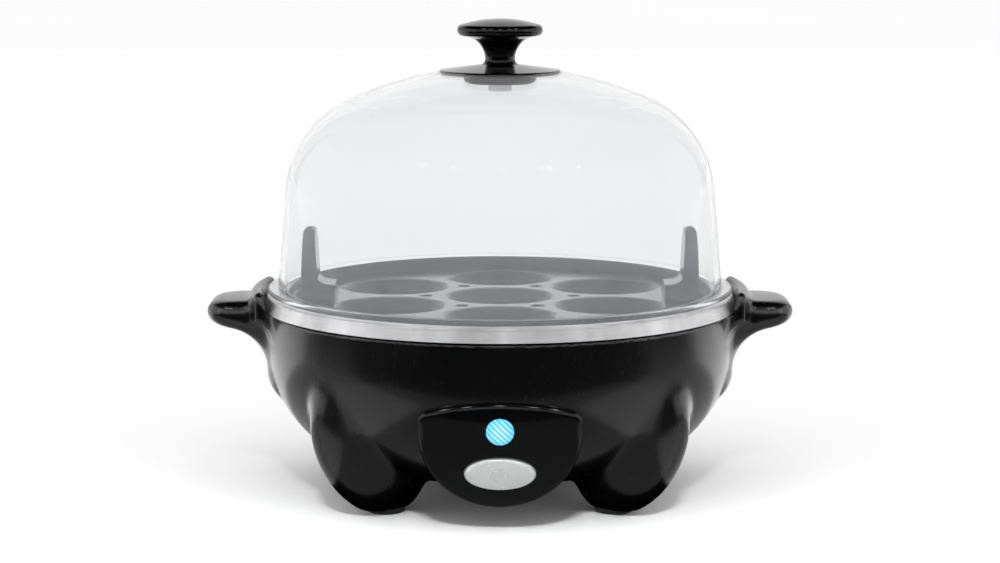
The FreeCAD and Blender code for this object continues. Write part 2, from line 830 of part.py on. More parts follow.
def make_thermal_fuse():
    """Axial thermal cut-out lying against the diffuser."""
    _, under_plate = heater_levels()
    along = Rotation(Vector(0, 1, 0), 90)
    level = under_plate.value - 2.1
    can = cylinder(2.0, 11.0, (-5.5, -31.0, level), along)
    wires = cylinder(0.5, 23.0, (-11.5, -31.0, level), along)
    return node(fuse([can, wires], "ThermalFuse"), "thermal_fuse")


def make_fuse_clip():
    """Small sprung saddle that holds the thermal fuse."""
    _, under_plate = heater_levels()
    top = under_plate.value
    profile = [(-28.2, top), (-25.0, top), (-25.0, top - 0.7), (-28.3, top - 0.7), (-28.3, top - 2.1, -2.7),
               (-33.7, top - 2.1), (-33.7, top - 0.7), (-34.6, top - 0.7), (-34.6, top), (-33.05, top),
               (-33.05, top - 2.1, 2.05), (-28.95, top - 2.1)]
    clip = extrude(free_sketch(profile, SIDEWAYS), Vector(1, 0, 0), 3.0, 3.0)
    return node(clip, "fuse_clip")


# ---------------------------------------------------------------- housing


def bowl_points(inset):
    """Outline of the bowl, drawn in from its outer surface by inset."""
    turn = size("bowl_turn_radius") - inset
    centre_r = size("bowl_radius") - size("bowl_turn_radius")
    floor = size("bowl_turn_z") - turn
    return [
        (0, floor),
        (centre_r, floor, turn),
        (size("bowl_radius") - inset, size("bowl_turn_z")),
    ]


def make_leg_block(inset):
    """One leg's ellipsoid, leaning outwards at azimuth 0, smaller all round by inset."""
    leg = doc.addObject("Part::Ellipsoid", "Leg")
    leg.Angle1 = -90
    leg.Angle2 = 90
    bind(leg, "Radius1", size("leg_long") - inset)
    bind(leg, "Radius2", size("leg_radial") - inset)
    bind(leg, "Radius3", size("leg_tangential") - inset)
    return leg


def leg_blocks(inset):
    """The four legs, each turned to its own azimuth."""
    legs = []
    for name in LEG_TURNS:
        azimuth = leg_azimuth(name)
        x, y, _ = polar(size("leg_centre_radius"), azimuth)
        lean = Rotation(Vector(0, 1, 0), DIMENSIONS["leg_lean"])
        turn = Rotation(Vector(0, 0, 1), azimuth)
        legs.append(place(make_leg_block(inset), (x, y, size("leg_centre_z")), turn.multiply(lean)))
    return legs


def leg_azimuth(name):
    """A leg's azimuth: the legs mirror each other in both upright planes."""
    start, sense = LEG_TURNS[name]
    return start + sense * DIMENSIONS["leg_azimuth"]


def make_handle(side):
    """Flat rounded lug with a hollow fairing sweeping down into the bowl."""
    tip = size("overall_width") * 0.5
    root = size("handle_root_x")
    profile = [
        (root, size("fairing_tail_z")),
        (size("fairing_tail_x"), size("fairing_tail_z"), size("fairing_tail_radius")),
        (size("fairing_waist_x"), size("fairing_waist_z"), -size("fairing_radius")),
        (size("fairing_top_x"), size("fairing_top_z")),
        (tip, size("handle_tip_bottom_z")),
        (tip, size("handle_tip_top_z"), 90.0),
        (size("handle_flat_x"), size("handle_top_z")),
        (root, size("handle_top_z")),
    ]
    half = size("handle_half_width")
    corner = size("handle_corner_radius")
    plan = [(root, -half), (tip - corner, -half, corner), (tip, -half + corner),
            (tip, half - corner, corner), (tip - corner, half), (root, half)]
    if side < 0:
        profile = mirrored(profile)
        plan = mirrored(plan)
    side_block = extrude(free_sketch(profile, UPRIGHT), Vector(0, 1, 0), BEYOND, BEYOND)
    plan_block = extrude(free_sketch(plan), Vector(0, 0, 1), size("collar_top_z") + BEYOND)
    lug = common(side_block, plan_block, "HandleLug")
    doc.recompute()
    edges = edge_numbers(lug.Shape, on_handle_rim)
    return fillet(lug, edges, DIMENSIONS["handle_round"], "Handle")


def on_handle_rim(edge):
    """Whether an edge runs round the lug between its top or underside and its sides."""
    extent = edge.BoundBox
    upright = extent.XLength < 0.01 and extent.YLength < 0.01
    across = extent.YLength > 20.0
    at_root = max(abs(extent.XMin), abs(extent.XMax)) < DIMENSIONS["handle_root_x"] + 0.1
    return not (upright or across or at_root or extent.ZMax < DIMENSIONS["fairing_tail_z"] + 0.1)


def make_collar(side):
    """Upright arc wall at a handle's root, hugging the pan's band."""
    inner = size("collar_inner_radius")
    outer = size("collar_outer_radius")
    top = size("collar_top_z")
    half_angle = DIMENSIONS["collar_half_angle"]
    shoulder = size("bowl_shoulder_z")
    section = free_sketch([
        (inner - 2.2, size("collar_base_z")), (outer, size("collar_base_z")), (outer, top - 1.6, 1.6),
        (inner, top - 1.6), (inner, shoulder), (inner - 2.2, shoulder)], UPRIGHT)
    wall = revolve(section, "Collar", 2.0 * half_angle)
    start = -half_angle if side > 0 else 180.0 - half_angle
    return place(linked_copy(wall), (0, 0, 0), Rotation(Vector(0, 0, 1), start))


def floor_block(top):
    """A wide slab whose top is at a given height."""
    wide = DIMENSIONS["overall_width"] + 2.0 * BEYOND
    return box(wide, wide, BEYOND, (0, 0, top - BEYOND))


def housing_outer():
    """The housing as a filled block: bowl, legs, handles and collars."""
    lip = size("lip_radius")
    bowl = revolve(free_sketch(bowl_points(0.0) + [
        (size("bowl_radius"), size("bowl_shoulder_z")), (lip, size("bowl_shoulder_z")),
        (lip, size("lip_top_z")), (0, size("lip_top_z"))], UPRIGHT), "BowlOuter")
    grips = []
    for side in (1, -1):
        grips += [make_handle(side), make_collar(side)]
    pan_space = cylinder(size("collar_inner_radius"), BEYOND, (0, 0, size("bowl_shoulder_z")))
    grips = cut(fuse(grips), pan_space, "Grips")
    block = fuse([bowl, grips] + leg_blocks(0.0), "HousingBlock")
    return cut(block, floor_block(DIMENSIONS["leg_flat_z"]), "HousingOuter")


def housing_cavity():
    """The hollow inside: the bowl's, opening into the four legs."""
    inset = size("wall")
    inner = size("lip_inner_radius")
    bowl = revolve(free_sketch(bowl_points(inset) + [
        (size("bowl_radius") - inset, size("bowl_shoulder_z") - 4.5),
        (inner, size("bowl_shoulder_z") - 3.5),
        (inner, size("lip_top_z") + BEYOND), (0, size("lip_top_z") + BEYOND)], UPRIGHT), "BowlInner")
    legs = fuse(leg_blocks(inset))
    foot_roof = DIMENSIONS["leg_flat_z"] + DIMENSIONS["foot_depth"] + 2.0
    return fuse([bowl, cut(legs, floor_block(foot_roof))], "HousingCavity")


def foot_places():
    """Where the four foot pads sit, under the lowest point of each leg."""
    lean = math.radians(DIMENSIONS["leg_lean"])
    long_z = DIMENSIONS["leg_long"] * math.cos(lean)
    wide_z = DIMENSIONS["leg_radial"] * math.sin(lean)
    depth = math.hypot(long_z, wide_z)
    long_part = DIMENSIONS["leg_long"] ** 2 * math.cos(lean) * math.sin(lean)
    wide_part = DIMENSIONS["leg_radial"] ** 2 * math.cos(lean) * math.sin(lean)
    radius = DIMENSIONS["leg_centre_radius"] - (long_part - wide_part) / depth
    return {name: polar(radius, leg_azimuth(name)) for name in LEG_TURNS}


def housing_posts():
    """Posts for the pan's screws and the bottom cover's: the solids, and the holes through them."""
    floor_z = DIMENSIONS["bowl_floor_z"]
    root_z = floor_z + DIMENSIONS["wall"] - 1.0
    solids = []
    holes = [cylinder(size("floor_opening"), 6.0, (0, 0, floor_z - 2.0))]
    for turn in POST_AZIMUTHS:
        x, y, _ = polar(size("screw_circle"), turn)
        solids.append(cylinder(size("post_radius"), size("post_top_z") - root_z, (x, y, root_z)))
        holes.append(cylinder(3.2, 26.0, (x, y, floor_z - 2.0)))
        holes.append(cylinder(1.7, 20.0, (x, y, 30.0)))
    for turn in COVER_AZIMUTHS:
        x, y, _ = polar(size("screw_circle"), turn)
        solids.append(cylinder(3.2, 6.6, (x, y, root_z)))
        holes.append(cylinder(1.35, 8.0, (x, y, floor_z - 1.0)))
    return solids, holes


def housing_front():
    """Pillars for the control board and bores for the pod's screws, with the pod's wiring window."""
    solids = []
    holes = [box(29.0, 24.0, 25.0, (0, -64.0, 16.0))]
    for side in (1, -1):
        pillar = (side * DIMENSIONS["board_pillar_x"], -73.0, size("board_pillar_z"))
        solids.append(cylinder(2.6, 21.0, pillar, TOWARDS_BACK))
        holes.append(cylinder(1.1, 7.0, (pillar[0], -58.0, pillar[2]), TOWARDS_BACK))
        at = (side * DIMENSIONS["pod_screw_x"], -76.0, size("pod_screw_z"))
        holes.append(cylinder(1.5, 12.0, at, TOWARDS_BACK))
    return solids, holes


def housing_back():
    """The shelf under the terminal block, and the boss and bore for the mains lead's gland."""
    shelf = box(22.0, 14.0, 7.0, (size("block_x"), size("block_y"), 13.0))
    at = (0, size("gland_inner_y"), size("gland_z"))
    boss = cylinder(size("gland_boss_radius"), size("gland_boss_length"), at, TOWARDS_BACK)
    bore_at = (0, size("gland_inner_y") - 8.0, size("gland_z"))
    return shelf, boss, cylinder(size("gland_radius") + 0.05, 40.0, bore_at, TOWARDS_BACK)


def make_housing(outer):
    """Glossy black bowl: one moulding with its legs, handles, collars, posts and bosses."""
    shell = cut(outer, housing_cavity(), "HousingShell")
    posts, post_holes = housing_posts()
    pillars, pillar_holes = housing_front()
    shelf, boss, bore = housing_back()
    trimmed = common(fuse(pillars + [shelf]), outer)
    holes = post_holes + pillar_holes + [bore]
    socket_z = DIMENSIONS["leg_flat_z"] - FOOT_SOCKET_DROP
    for x, y, _ in foot_places().values():
        holes.append(cylinder(size("foot_radius") + 0.1, size("foot_depth"), (x, y, socket_z)))
    solid = fuse([shell, trimmed, boss] + posts, "HousingSolid")
    return node(cut(solid, holes, "Housing"), "housing")


def make_foot_pads():
    """Soft pads let into the undersides of the legs; the lowest surfaces of the cooker."""
    for name, (x, y, _) in foot_places().items():
        radius = size("foot_radius")
        height = size("leg_flat_z") - FOOT_SOCKET_DROP + size("foot_depth")
        pad = revolve(free_sketch([
            (0, 0), (radius - 0.8, 0, 0.8), (radius, 0.8), (radius, height), (0, height)], UPRIGHT), "Pad")
        holder = linked_copy(pad)
        node(place(holder, (x, y, 0)), "foot_pad_" + name)


def make_bottom_cover():
    """Round cover under the floor with a locating ring and cooling slots."""
    radius = size("cover_radius")
    top = size("bowl_floor_z") - 0.05
    body = doc.addObject("PartDesign::Body", "bottom_cover")
    ring = size("floor_opening") - 0.3
    body_revolution(body, "Disc", [
        (0, top - 1.8), (radius - 1.0, top - 1.8, 1.0), (radius, top - 0.8), (radius, top),
        (ring, top), (ring, top + 3.0), (ring - 1.6, top + 3.0), (ring - 1.6, top), (0, top)])
    hole = body_drill(body, "ScrewHole", [(0, -size("screw_circle"), 1.6)], offset=0.0, upward=True)
    body_polar(body, hole, 3, "ScrewHoles")
    slot = body.newObject("PartDesign::Pocket", "Slot")
    slot.Profile = body_sketch(body, "Slot_profile", [
        (9.0, -1.1), (16.0, -1.1, 1.1), (16.0, 1.1), (9.0, 1.1, 1.1)], "XY_Plane", 0.0)
    slot.Type = "ThroughAll"
    slot.Reversed = True
    body_polar(body, slot, 9, "Slots")
    return node(body, "bottom_cover")


def make_cover_screws():
    level = DIMENSIONS["bowl_floor_z"] - 0.05 - 1.8
    places = [polar(size("screw_circle"), turn, level) for turn in COVER_AZIMUTHS]
    items = [screw(at, None, 1.3, 8.0, 2.6, 1.6) for at in places]
    return node(group(items, "CoverScrews"), "cover_screws")


# ---------------------------------------------------------------- control pod


def pod_outline(inset):
    """The pod's D shape seen from the front: a half round below, a shallow arch above."""
    radius = size("pod_radius") - inset
    centre = size("pod_centre_z")
    corner = size("pod_corner_z")
    corner_radius = size("pod_corner_radius") - inset
    arch = size("pod_arch_radius") - inset
    shoulder_x = radius - corner_radius * 0.7193
    shoulder_z = corner + corner_radius * 0.9598
    return [
        (-radius, centre, radius), (0, centre - radius, radius), (radius, centre),
        (radius, corner, corner_radius), (shoulder_x, shoulder_z, arch),
        (-shoulder_x, shoulder_z, corner_radius), (-radius, corner)]


def pod_block(inset):
    """The pod as a filled block: its D shape cut from a barrel-shaped face."""
    face = size("pod_face_radius") - inset
    level = size("pod_face_centre_z")
    centre_r = size("pod_face_centre_r")
    drop = 38.0
    reach = math.sqrt(face.value ** 2 - drop ** 2)
    barrel = revolve(free_sketch([
        (0, level - drop), (centre_r + reach, level - drop, face),
        (centre_r + face, level), (0, level)], UPRIGHT))
    prism = extrude(free_sketch(pod_outline(inset), UPRIGHT), Vector(0, -1, 0), 90.0, -44.0)
    return common(barrel, prism, "PodBlock")


def panel_frame(level):
    """Place and turn of a part whose local +Z leaves the pod's face at a given height."""
    angle = math.asin((level - DIMENSIONS["pod_face_centre_z"]) / DIMENSIONS["pod_face_radius"])
    y = -(DIMENSIONS["pod_face_centre_r"] + DIMENSIONS["pod_face_radius"] * math.cos(angle))
    turn = Rotation(Vector(1, 0, 0), 90 - math.degrees(angle))
    return Vector(0, y, level), turn


def along_panel(level, depth):
    """A point a given depth under the pod's face; outward is positive."""
    at, turn = panel_frame(level)
    return at + turn.multVec(Vector(0, 0, depth)), turn


def oval(half_width, half_height, height, at=(0, 0, 0)):
    """An elliptical prism standing on at."""
    ellipse = doc.addObject("Part::Ellipse", "Oval")
    bind(ellipse, "MajorRadius", half_width)
    bind(ellipse, "MinorRadius", half_height)
    place(ellipse, at)
    return extrude(ellipse, Vector(0, 0, 1), height)


def on_pod_front(edge):
    """Whether an edge runs round the pod's face, not back into the bowl."""
    return edge.CenterOfMass.y < -60.0 and edge.BoundBox.YLength < 20.0


def make_control_bezel(outer):
    """Glossy pod on the front: a thin shell with a lens hole, a button hole and two screw bosses."""
    full = pod_block(0.0)
    doc.recompute()
    front = edge_numbers(full.Shape, on_pod_front)
    rounded = fillet(full, front, DIMENSIONS["pod_round"], "PodRounded")
    hollow = pod_block(size("wall"))
    screws = [(side * DIMENSIONS["pod_screw_x"], size("pod_screw_z")) for side in (1, -1)]
    bosses = [cylinder(2.8, 14.0, (x, -78.0, z), TOWARDS_BACK) for x, z in screws]
    shell = fuse([cut(rounded, hollow), common(fuse(bosses), linked_copy(rounded))])
    lens_at, lens_turn = along_panel(DIMENSIONS["lens_z"], -8.0)
    button_at, button_turn = along_panel(DIMENSIONS["button_z"], -8.0)
    gap = DIMENSIONS["running_gap"]
    holes = [place(cylinder(size("lens_radius") + 0.1, 12.0), tuple(lens_at), lens_turn)]
    button_hole = oval(size("button_half_width") + gap, size("button_half_height") + gap, 12.0)
    holes.append(place(linked_copy(button_hole), tuple(button_at), button_turn))
    holes += [cylinder(1.25, 8.0, (x, -71.4, z), TOWARDS_BACK) for x, z in screws]
    return node(cut(cut(shell, holes), outer, "ControlBezel"), "control_bezel")


def make_bezel_screws():
    places = [(side * DIMENSIONS["pod_screw_x"], -66.6, size("pod_screw_z")) for side in (1, -1)]
    items = [screw(at, TOWARDS_FRONT, 1.2, 4.4, 2.4, 1.6) for at in places]
    return node(group(items, "BezelScrews"), "bezel_screws")


def make_power_button():
    """Oval push button with a captive flange and a plunger; its crown carries the power symbol."""
    wide = size("button_half_width")
    high = size("button_half_height")
    cap = oval(wide, high, 5.0, (0, 0, -4.2))
    doc.recompute()
    rim = edge_numbers(cap.Shape, lambda edge: edge.CenterOfMass.z > 0.5)
    crown = fillet(cap, rim, 0.7)
    flange = oval(wide + 1.4, high + 1.2, 1.0, (0, 0, -5.2))
    plunger = cylinder(1.8, 4.0, (0, 0, -8.8))
    at, turn = along_panel(DIMENSIONS["button_z"], 0.0)
    return node(place(fuse([crown, flange, plunger], "PowerButton"), tuple(at), turn), "power_button")


def make_switch_body():
    """Latching push switch behind the button, on four pins to the control board."""
    case = box(12.0, 9.0, 7.0, (0, 0, -16.0))
    well = cylinder(2.4, 4.0, (0, 0, -12.6))
    at, turn = along_panel(DIMENSIONS["button_z"], 0.0)
    body = place(cut(case, well), tuple(at), turn)
    pins = [cylinder(0.5, 7.0, (x, -59.2, z), TOWARDS_BACK) for x in (-4.0, 4.0) for z in (24.8, 28.2)]
    return node(fuse([body] + pins, "SwitchBody"), "switch_body")


def make_switch_spring():
    """Return spring between the button's flange and the switch; each half turn is a tilted half ring."""
    ring = 2.5
    wire = 0.22
    rise = 0.5
    half_turns = 6
    tilt = math.degrees(math.asin(rise / (2.0 * ring)))
    coil = []
    for index in range(half_turns):
        turn = Rotation(Vector(0, 0, 1), 180.0 * index) * Rotation(Vector(0, 1, 0), tilt)
        coil.append(torus(ring, wire, (0, 0, rise * (index + 0.5)), turn, 180.0))
        coil.append(joint_ball(wire + 0.02, turn.multVec(Vector(-ring, 0, 0)) + Vector(0, 0, rise * (index + 0.5))))
    at, turn = along_panel(DIMENSIONS["button_z"], -8.7)
    return node(place(fuse(coil, "SwitchSpring"), tuple(at), turn), "switch_spring")


def joint_ball(radius, at):
    """Small ball that closes the joint between two rods or half rings."""
    ball = doc.addObject("Part::Sphere", "JointBall")
    bind(ball, "Radius", radius)
    return place(ball, tuple(at))


def make_indicator_lens():
    """Domed blue lens with a flange behind the bezel."""
    radius = size("lens_radius")
    lens = revolve(free_sketch([
        (0, -4.4), (radius + 1.3, -4.4), (radius + 1.3, -3.4), (radius, -3.4), (radius, -0.2, 9.0),
        (0.4, 0.9), (0, 0.9)], UPRIGHT))
    at, turn = along_panel(DIMENSIONS["lens_z"], 0.0)
    return node(place(linked_copy(lens), tuple(at), turn), "indicator_lens")


def make_indicator_lamp():
    """Lamp behind the lens, standing off the control board on two legs."""
    bulb = revolve(free_sketch([
        (0, -11.0), (2.9, -11.0), (2.9, -10.0), (2.5, -10.0), (2.5, -7.0, 2.6),
        (0.3, -4.8), (0, -4.8)], UPRIGHT))
    at, turn = along_panel(DIMENSIONS["lens_z"], 0.0)
    legs = [cylinder(0.35, 14.5, (side * 1.27, -66.6, 36.0), TOWARDS_BACK) for side in (1, -1)]
    return node(fuse([place(linked_copy(bulb), tuple(at), turn)] + legs, "IndicatorLamp"), "indicator_lamp")


def make_control_board():
    """Control board standing behind the pod on two pillars."""
    thickness = 1.6
    middle_y = DIMENSIONS["board_back_y"] - thickness / 2.0
    board = box(42.0, thickness, 20.0, (0, middle_y, 21.5))
    level = size("board_pillar_z")
    places = [(side * DIMENSIONS["board_pillar_x"], middle_y - 2.3, level) for side in (1, -1)]
    holes = [cylinder(1.4, 4.0, at, TOWARDS_BACK) for at in places]
    return node(cut(board, holes, "ControlBoard"), "control_board")


def make_board_screws():
    level = size("board_pillar_z")
    places = [(side * DIMENSIONS["board_pillar_x"], size("board_back_y") + 0.05, level) for side in (1, -1)]
    items = [screw(at, TOWARDS_FRONT, 1.05, 6.0, 2.2, 1.4) for at in places]
    return node(group(items, "BoardScrews"), "board_screws")


def make_buzzer():
    """Round buzzer on the back of the control board."""
    can = revolve(free_sketch([(0.8, 0), (5.5, 0), (5.5, 4.6, 0.4), (5.1, 5.0), (0.8, 5.0)], UPRIGHT))
    at = (0, size("board_back_y") + 0.05, size("board_pillar_z"))
    return node(place(linked_copy(can), at, TOWARDS_BACK), "buzzer")


# ---------------------------------------------------------------- mains side


def make_cord_gland():
    """Rubber bushing in the back of the housing, bored for the mains lead."""
    bore = size("cord_radius")
    body = size("gland_radius")
    end = size("gland_boss_length") + 0.1
    gland = revolve(free_sketch([
        (bore, -2.2), (body + 1.2, -2.2, 0.6), (body + 1.8, -1.6), (body + 1.8, -0.1), (body, -0.1),
        (body, end), (body + 2.0, end), (body + 2.0, end + 0.8, 1.4), (body + 0.6, end + 2.2),
        (bore, end + 2.2)], UPRIGHT))
    at = (0, size("gland_inner_y"), size("gland_z"))
    return node(place(linked_copy(gland), at, TOWARDS_BACK), "cord_gland")


def block_poles():
    """Where the terminal block's two poles are, in x."""
    return [size("block_x") + size("block_pole_pitch") * side for side in (-1, 1)]


def make_terminal_block():
    """Two-way terminal block on the shelf at the back of the housing."""
    blank = box(18.0, 10.0, 9.0, (size("block_x"), size("block_y"), 20.05))
    cuts = []
    for x in block_poles():
        cuts.append(cylinder(1.9, 14.0, (x, size("block_y") - 7.0, 24.0), TOWARDS_BACK))
        cuts.append(cylinder(2.0, 6.0, (x, size("block_y"), 24.5)))
    return node(cut(blank, cuts, "TerminalBlock"), "terminal_block")


def make_terminal_screws():
    items = [screw((x, size("block_y"), 28.2), DOWN, 1.2, 3.2, 1.8, 1.2, slot=0.9) for x in block_poles()]
    return node(group(items, "TerminalScrews"), "terminal_screws")


def tangent_path(route):
    """Straight runs joined by tangent arcs, each arc as large as its two runs allow."""
    edges = []
    start = route[0]
    for index in range(1, len(route) - 1):
        before, corner, after = route[index - 1], route[index], route[index + 1]
        run = min((corner - before).Length, (after - corner).Length) * 0.45
        first = (before - corner).normalize()
        second = (after - corner).normalize()
        arc_start = corner + first * run
        arc_end = corner + second * run
        half_turn = (math.pi - first.getAngle(second)) / 2.0
        inward = (first + second).normalize()
        radius = run / math.tan(half_turn)
        centre = corner + inward * (radius / math.cos(half_turn))
        middle = centre - inward * radius
        edges.append(Part.LineSegment(start, arc_start).toShape())
        edges.append(Part.Arc(arc_start, middle, arc_end).toShape())
        start = arc_end
    edges.append(Part.LineSegment(start, route[-1]).toShape())
    return Part.Wire(edges)


LEAD_ROUTES = {
    "lead_live": [(-24.2, 34.6, 24.0), (-26.0, 24.0, 22.0), (-22.0, 6.0, 20.5), (-16.0, -14.0, 22.0),
                  (-12.0, -30.0, 24.0), (-9.0, -42.0, 27.0), (-8.0, -50.2, 27.0)],
    "lead_neutral": [(-15.8, 34.6, 24.0), (-14.0, 27.5, 21.5), (-10.8, 20.8, 19.5), (-9.43, 17.66, 21.8),
                     (-9.43, 17.66, 26.15)],
    "lead_switched": [(8.0, -50.2, 27.0), (9.0, -42.0, 27.0), (11.0, -28.0, 23.0), (9.0, -12.0, 20.0),
                      (4.6, -3.0, 20.8), (4.0, 0.0, 25.0), (4.0, 0.0, 29.95)],
    "lead_fuse": [(-4.0, 0.0, 29.95), (-4.0, 0.0, 25.0), (-6.0, -5.0, 21.8), (-12.0, -15.0, 25.0),
                  (-16.0, -25.0, 34.0), (-15.6, -31.0, 43.6), (-11.6, -31.0, 44.3)],
    "lead_heater": [(11.6, -31.0, 44.3), (17.0, -31.0, 43.6), (28.0, -29.0, 38.0), (37.0, -16.0, 33.0),
                    (36.0, 4.0, 27.0), (25.0, 18.0, 21.0), (13.5, 21.0, 19.6), (9.43, 17.66, 21.6),
                    (9.43, 17.66, 26.15)],
}


def make_leads():
    """Insulated leads between the terminals, each a tube along its route."""
    lead_radius = 1.0
    for name, route in LEAD_ROUTES.items():
        points = [Vector(*point) for point in route]
        path = tangent_path(points)
        direction = points[1] - points[0]
        ring = Part.Wire([Part.Circle(points[0], direction, lead_radius).toShape()])
        lead = doc.addObject("Part::Feature", name)
        lead.Shape = path.makePipeShell([ring], True, True)
        lead.Placement = Placement()
        node(lead, name)
        expected = math.pi * lead_radius ** 2 * path.Length
        print("%s: length %.1f, volume %.1f of %.1f" % (name, path.Length, lead.Shape.Volume, expected))


# ---------------------------------------------------------------- build, check and write


def check_and_export():
    doc.recompute()
    faults = []
    for item in doc.Objects:
        if "Invalid" in item.State or "Error" in item.State:
            faults.append("%s: %s" % (item.Name, item.State))
    for item in NODES:
        if item.Shape.isNull() or not item.Shape.isValid() or not item.Shape.Solids:
            faults.append("%s: no valid solid" % item.Label)
        elif len(item.Shape.Solids) > 1 and item.TypeId != "Part::Compound":
            faults.append("%s: comes apart" % item.Label)
    if faults:
        raise RuntimeError("; ".join(faults))
    for item in NODES:
        item.Shape.exportStep("parts/%s.step" % item.Label)
        bounds = item.Shape.BoundBox
        print("%-22s solids %d  volume %9.1f  x %7.1f %7.1f  y %7.1f %7.1f  z %6.1f %6.1f" % (
            item.Label, len(item.Shape.Solids), item.Shape.Volume, bounds.XMin, bounds.XMax,
            bounds.YMin, bounds.YMax, bounds.ZMin, bounds.ZMax))


def main():
    make_lid_dome()
    make_lid_knob()
    make_knob_seal()
    make_knob_washer()
    make_knob_screw()
    make_egg_tray()
    make_water_pan()
    make_pan_gasket()
    make_heat_diffuser()
    make_heater_element()
    make_heater_terminals()
    make_pan_standoffs()
    make_pan_screws()
    make_thermostat()
    make_thermostat_strap()
    make_strap_screws()
    make_thermal_fuse()
    make_fuse_clip()
    outer = housing_outer()
    make_housing(outer)
    make_foot_pads()
    make_bottom_cover()
    make_cover_screws()
    make_control_bezel(outer)
    make_bezel_screws()
    make_power_button()
    make_switch_body()
    make_switch_spring()
    make_indicator_lens()
    make_indicator_lamp()
    make_control_board()
    make_board_screws()
    make_buzzer()
    make_cord_gland()
    make_terminal_block()
    make_terminal_screws()
    make_leads()
    check_and_export()


main()
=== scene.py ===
import json
import math

import bmesh
import bpy
import numpy as np
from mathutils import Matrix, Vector


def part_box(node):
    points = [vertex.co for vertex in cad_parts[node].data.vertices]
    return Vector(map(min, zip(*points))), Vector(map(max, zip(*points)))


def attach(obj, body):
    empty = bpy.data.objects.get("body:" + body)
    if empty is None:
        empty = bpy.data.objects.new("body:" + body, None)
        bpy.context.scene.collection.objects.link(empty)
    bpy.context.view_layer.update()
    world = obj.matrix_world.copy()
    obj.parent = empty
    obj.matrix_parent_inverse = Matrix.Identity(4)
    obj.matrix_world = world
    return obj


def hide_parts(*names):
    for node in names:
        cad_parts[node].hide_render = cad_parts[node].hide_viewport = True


# An electric egg cooker on a pale studio floor. Metres throughout, except inside the housing's surface
# functions, which work in millimetres. The front faces -Y.

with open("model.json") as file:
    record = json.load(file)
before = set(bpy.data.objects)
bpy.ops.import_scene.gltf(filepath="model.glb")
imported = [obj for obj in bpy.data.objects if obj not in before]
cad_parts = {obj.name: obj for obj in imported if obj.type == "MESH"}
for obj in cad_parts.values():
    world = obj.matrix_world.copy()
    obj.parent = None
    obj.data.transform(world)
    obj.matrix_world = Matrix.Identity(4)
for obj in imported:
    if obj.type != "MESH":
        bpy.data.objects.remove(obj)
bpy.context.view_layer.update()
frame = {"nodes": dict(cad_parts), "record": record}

MM = 0.001
DIAGONAL = 0.7071

# ---------------------------------------------------------------- sizes read from the frame


def extent(node):
    """Lowest and highest corner of a CAD node, in millimetres."""
    low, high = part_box(node)
    return np.array(low) / MM, np.array(high) / MM


HOUSING_LOW, HOUSING_HIGH = extent("housing")
PAD_LOW, PAD_HIGH = extent("foot_pad_front_right")

# the control panel's face is an arc in side view: its centre's distance from the axis, its height, its radius
PANEL_ARC = (19.4, 44.0, 57.0)
LENS_Z = 34.1
LENS_RADIUS = 4.2
LENS_PRISM_PITCH = 1.25
BUTTON_Z = 20.0
# half the button's width and height
BUTTON_HALF = (10.8, 5.8)


def panel_frame(level):
    """The face's point at a height, in millimetres, with its upward and outward directions."""
    centre_reach, centre_z, radius = PANEL_ARC
    angle = math.asin((level - centre_z) / radius)
    outward = Vector((0.0, -math.cos(angle), math.sin(angle)))
    upward = Vector((0.0, math.sin(angle), math.cos(angle)))
    return Vector((0.0, -(centre_reach + radius * math.cos(angle)), level)), upward, outward


def along_panel(level, up, out, side=0.0):
    """A point in metres, from the face's point at a height."""
    origin, upward, outward = panel_frame(level)
    return (origin + Vector((side, 0.0, 0.0)) + upward * up + outward * out) * MM


# ---------------------------------------------------------------- camera, floor and light

CAMERA_AT = (0.0, -0.8234, 0.19125)
CAMERA_PITCH = math.radians(81.519)
CAMERA_SENSOR_WIDTH = 36.0
CAMERA_FOCAL_LENGTH = 91.92

SKY_STRENGTH = 1.09
FLOOR_HALF_WIDTH = 30.0
FLOOR_SEAM_Y = 0.06

FRONT_BOX_AZIMUTHS = (-55.0, 0.0, 55.0)
LAMP_AZIMUTHS = (-52.0, -30.0, 0.0, 30.0, 52.0)
# glowing sheets that face up just over the floor: x, y, width, depth and radiance
LOW_SHEETS = (
    (-0.2, 0.045, 0.28, 0.32, 0.45),
    (0.2, 0.045, 0.28, 0.32, 0.45),
    (0.0, -0.1, 0.34, 0.1, 0.25),
)
LOW_SHEET_Z = 0.0015


def make_camera():
    data = bpy.data.cameras.new("Camera")
    data.sensor_width = CAMERA_SENSOR_WIDTH
    data.lens = CAMERA_FOCAL_LENGTH
    data.clip_start = 0.05
    data.clip_end = 60.0
    camera = bpy.data.objects.new("Camera", data)
    camera.location = CAMERA_AT
    camera.rotation_euler = (CAMERA_PITCH, 0.0, 0.0)
    bpy.context.scene.collection.objects.link(camera)
    bpy.context.scene.camera = camera


def soft_box(name, at, width, height, radiance, towards=(0.0, 0.0, 0.06)):
    """A soft box that only mirror reflections show, unless the caller changes that."""
    data = bpy.data.lights.new(name, "AREA")
    data.shape = "RECTANGLE"
    data.size = width
    data.size_y = height
    data.energy = radiance * math.pi * width * height
    light = bpy.data.objects.new(name, data)
    light.location = at
    light.rotation_euler = (Vector(towards) - Vector(at)).to_track_quat("-Z", "Y").to_euler()
    light.visible_camera = False
    light.visible_diffuse = False
    light.visible_transmission = False
    bpy.context.scene.collection.objects.link(light)
    return light


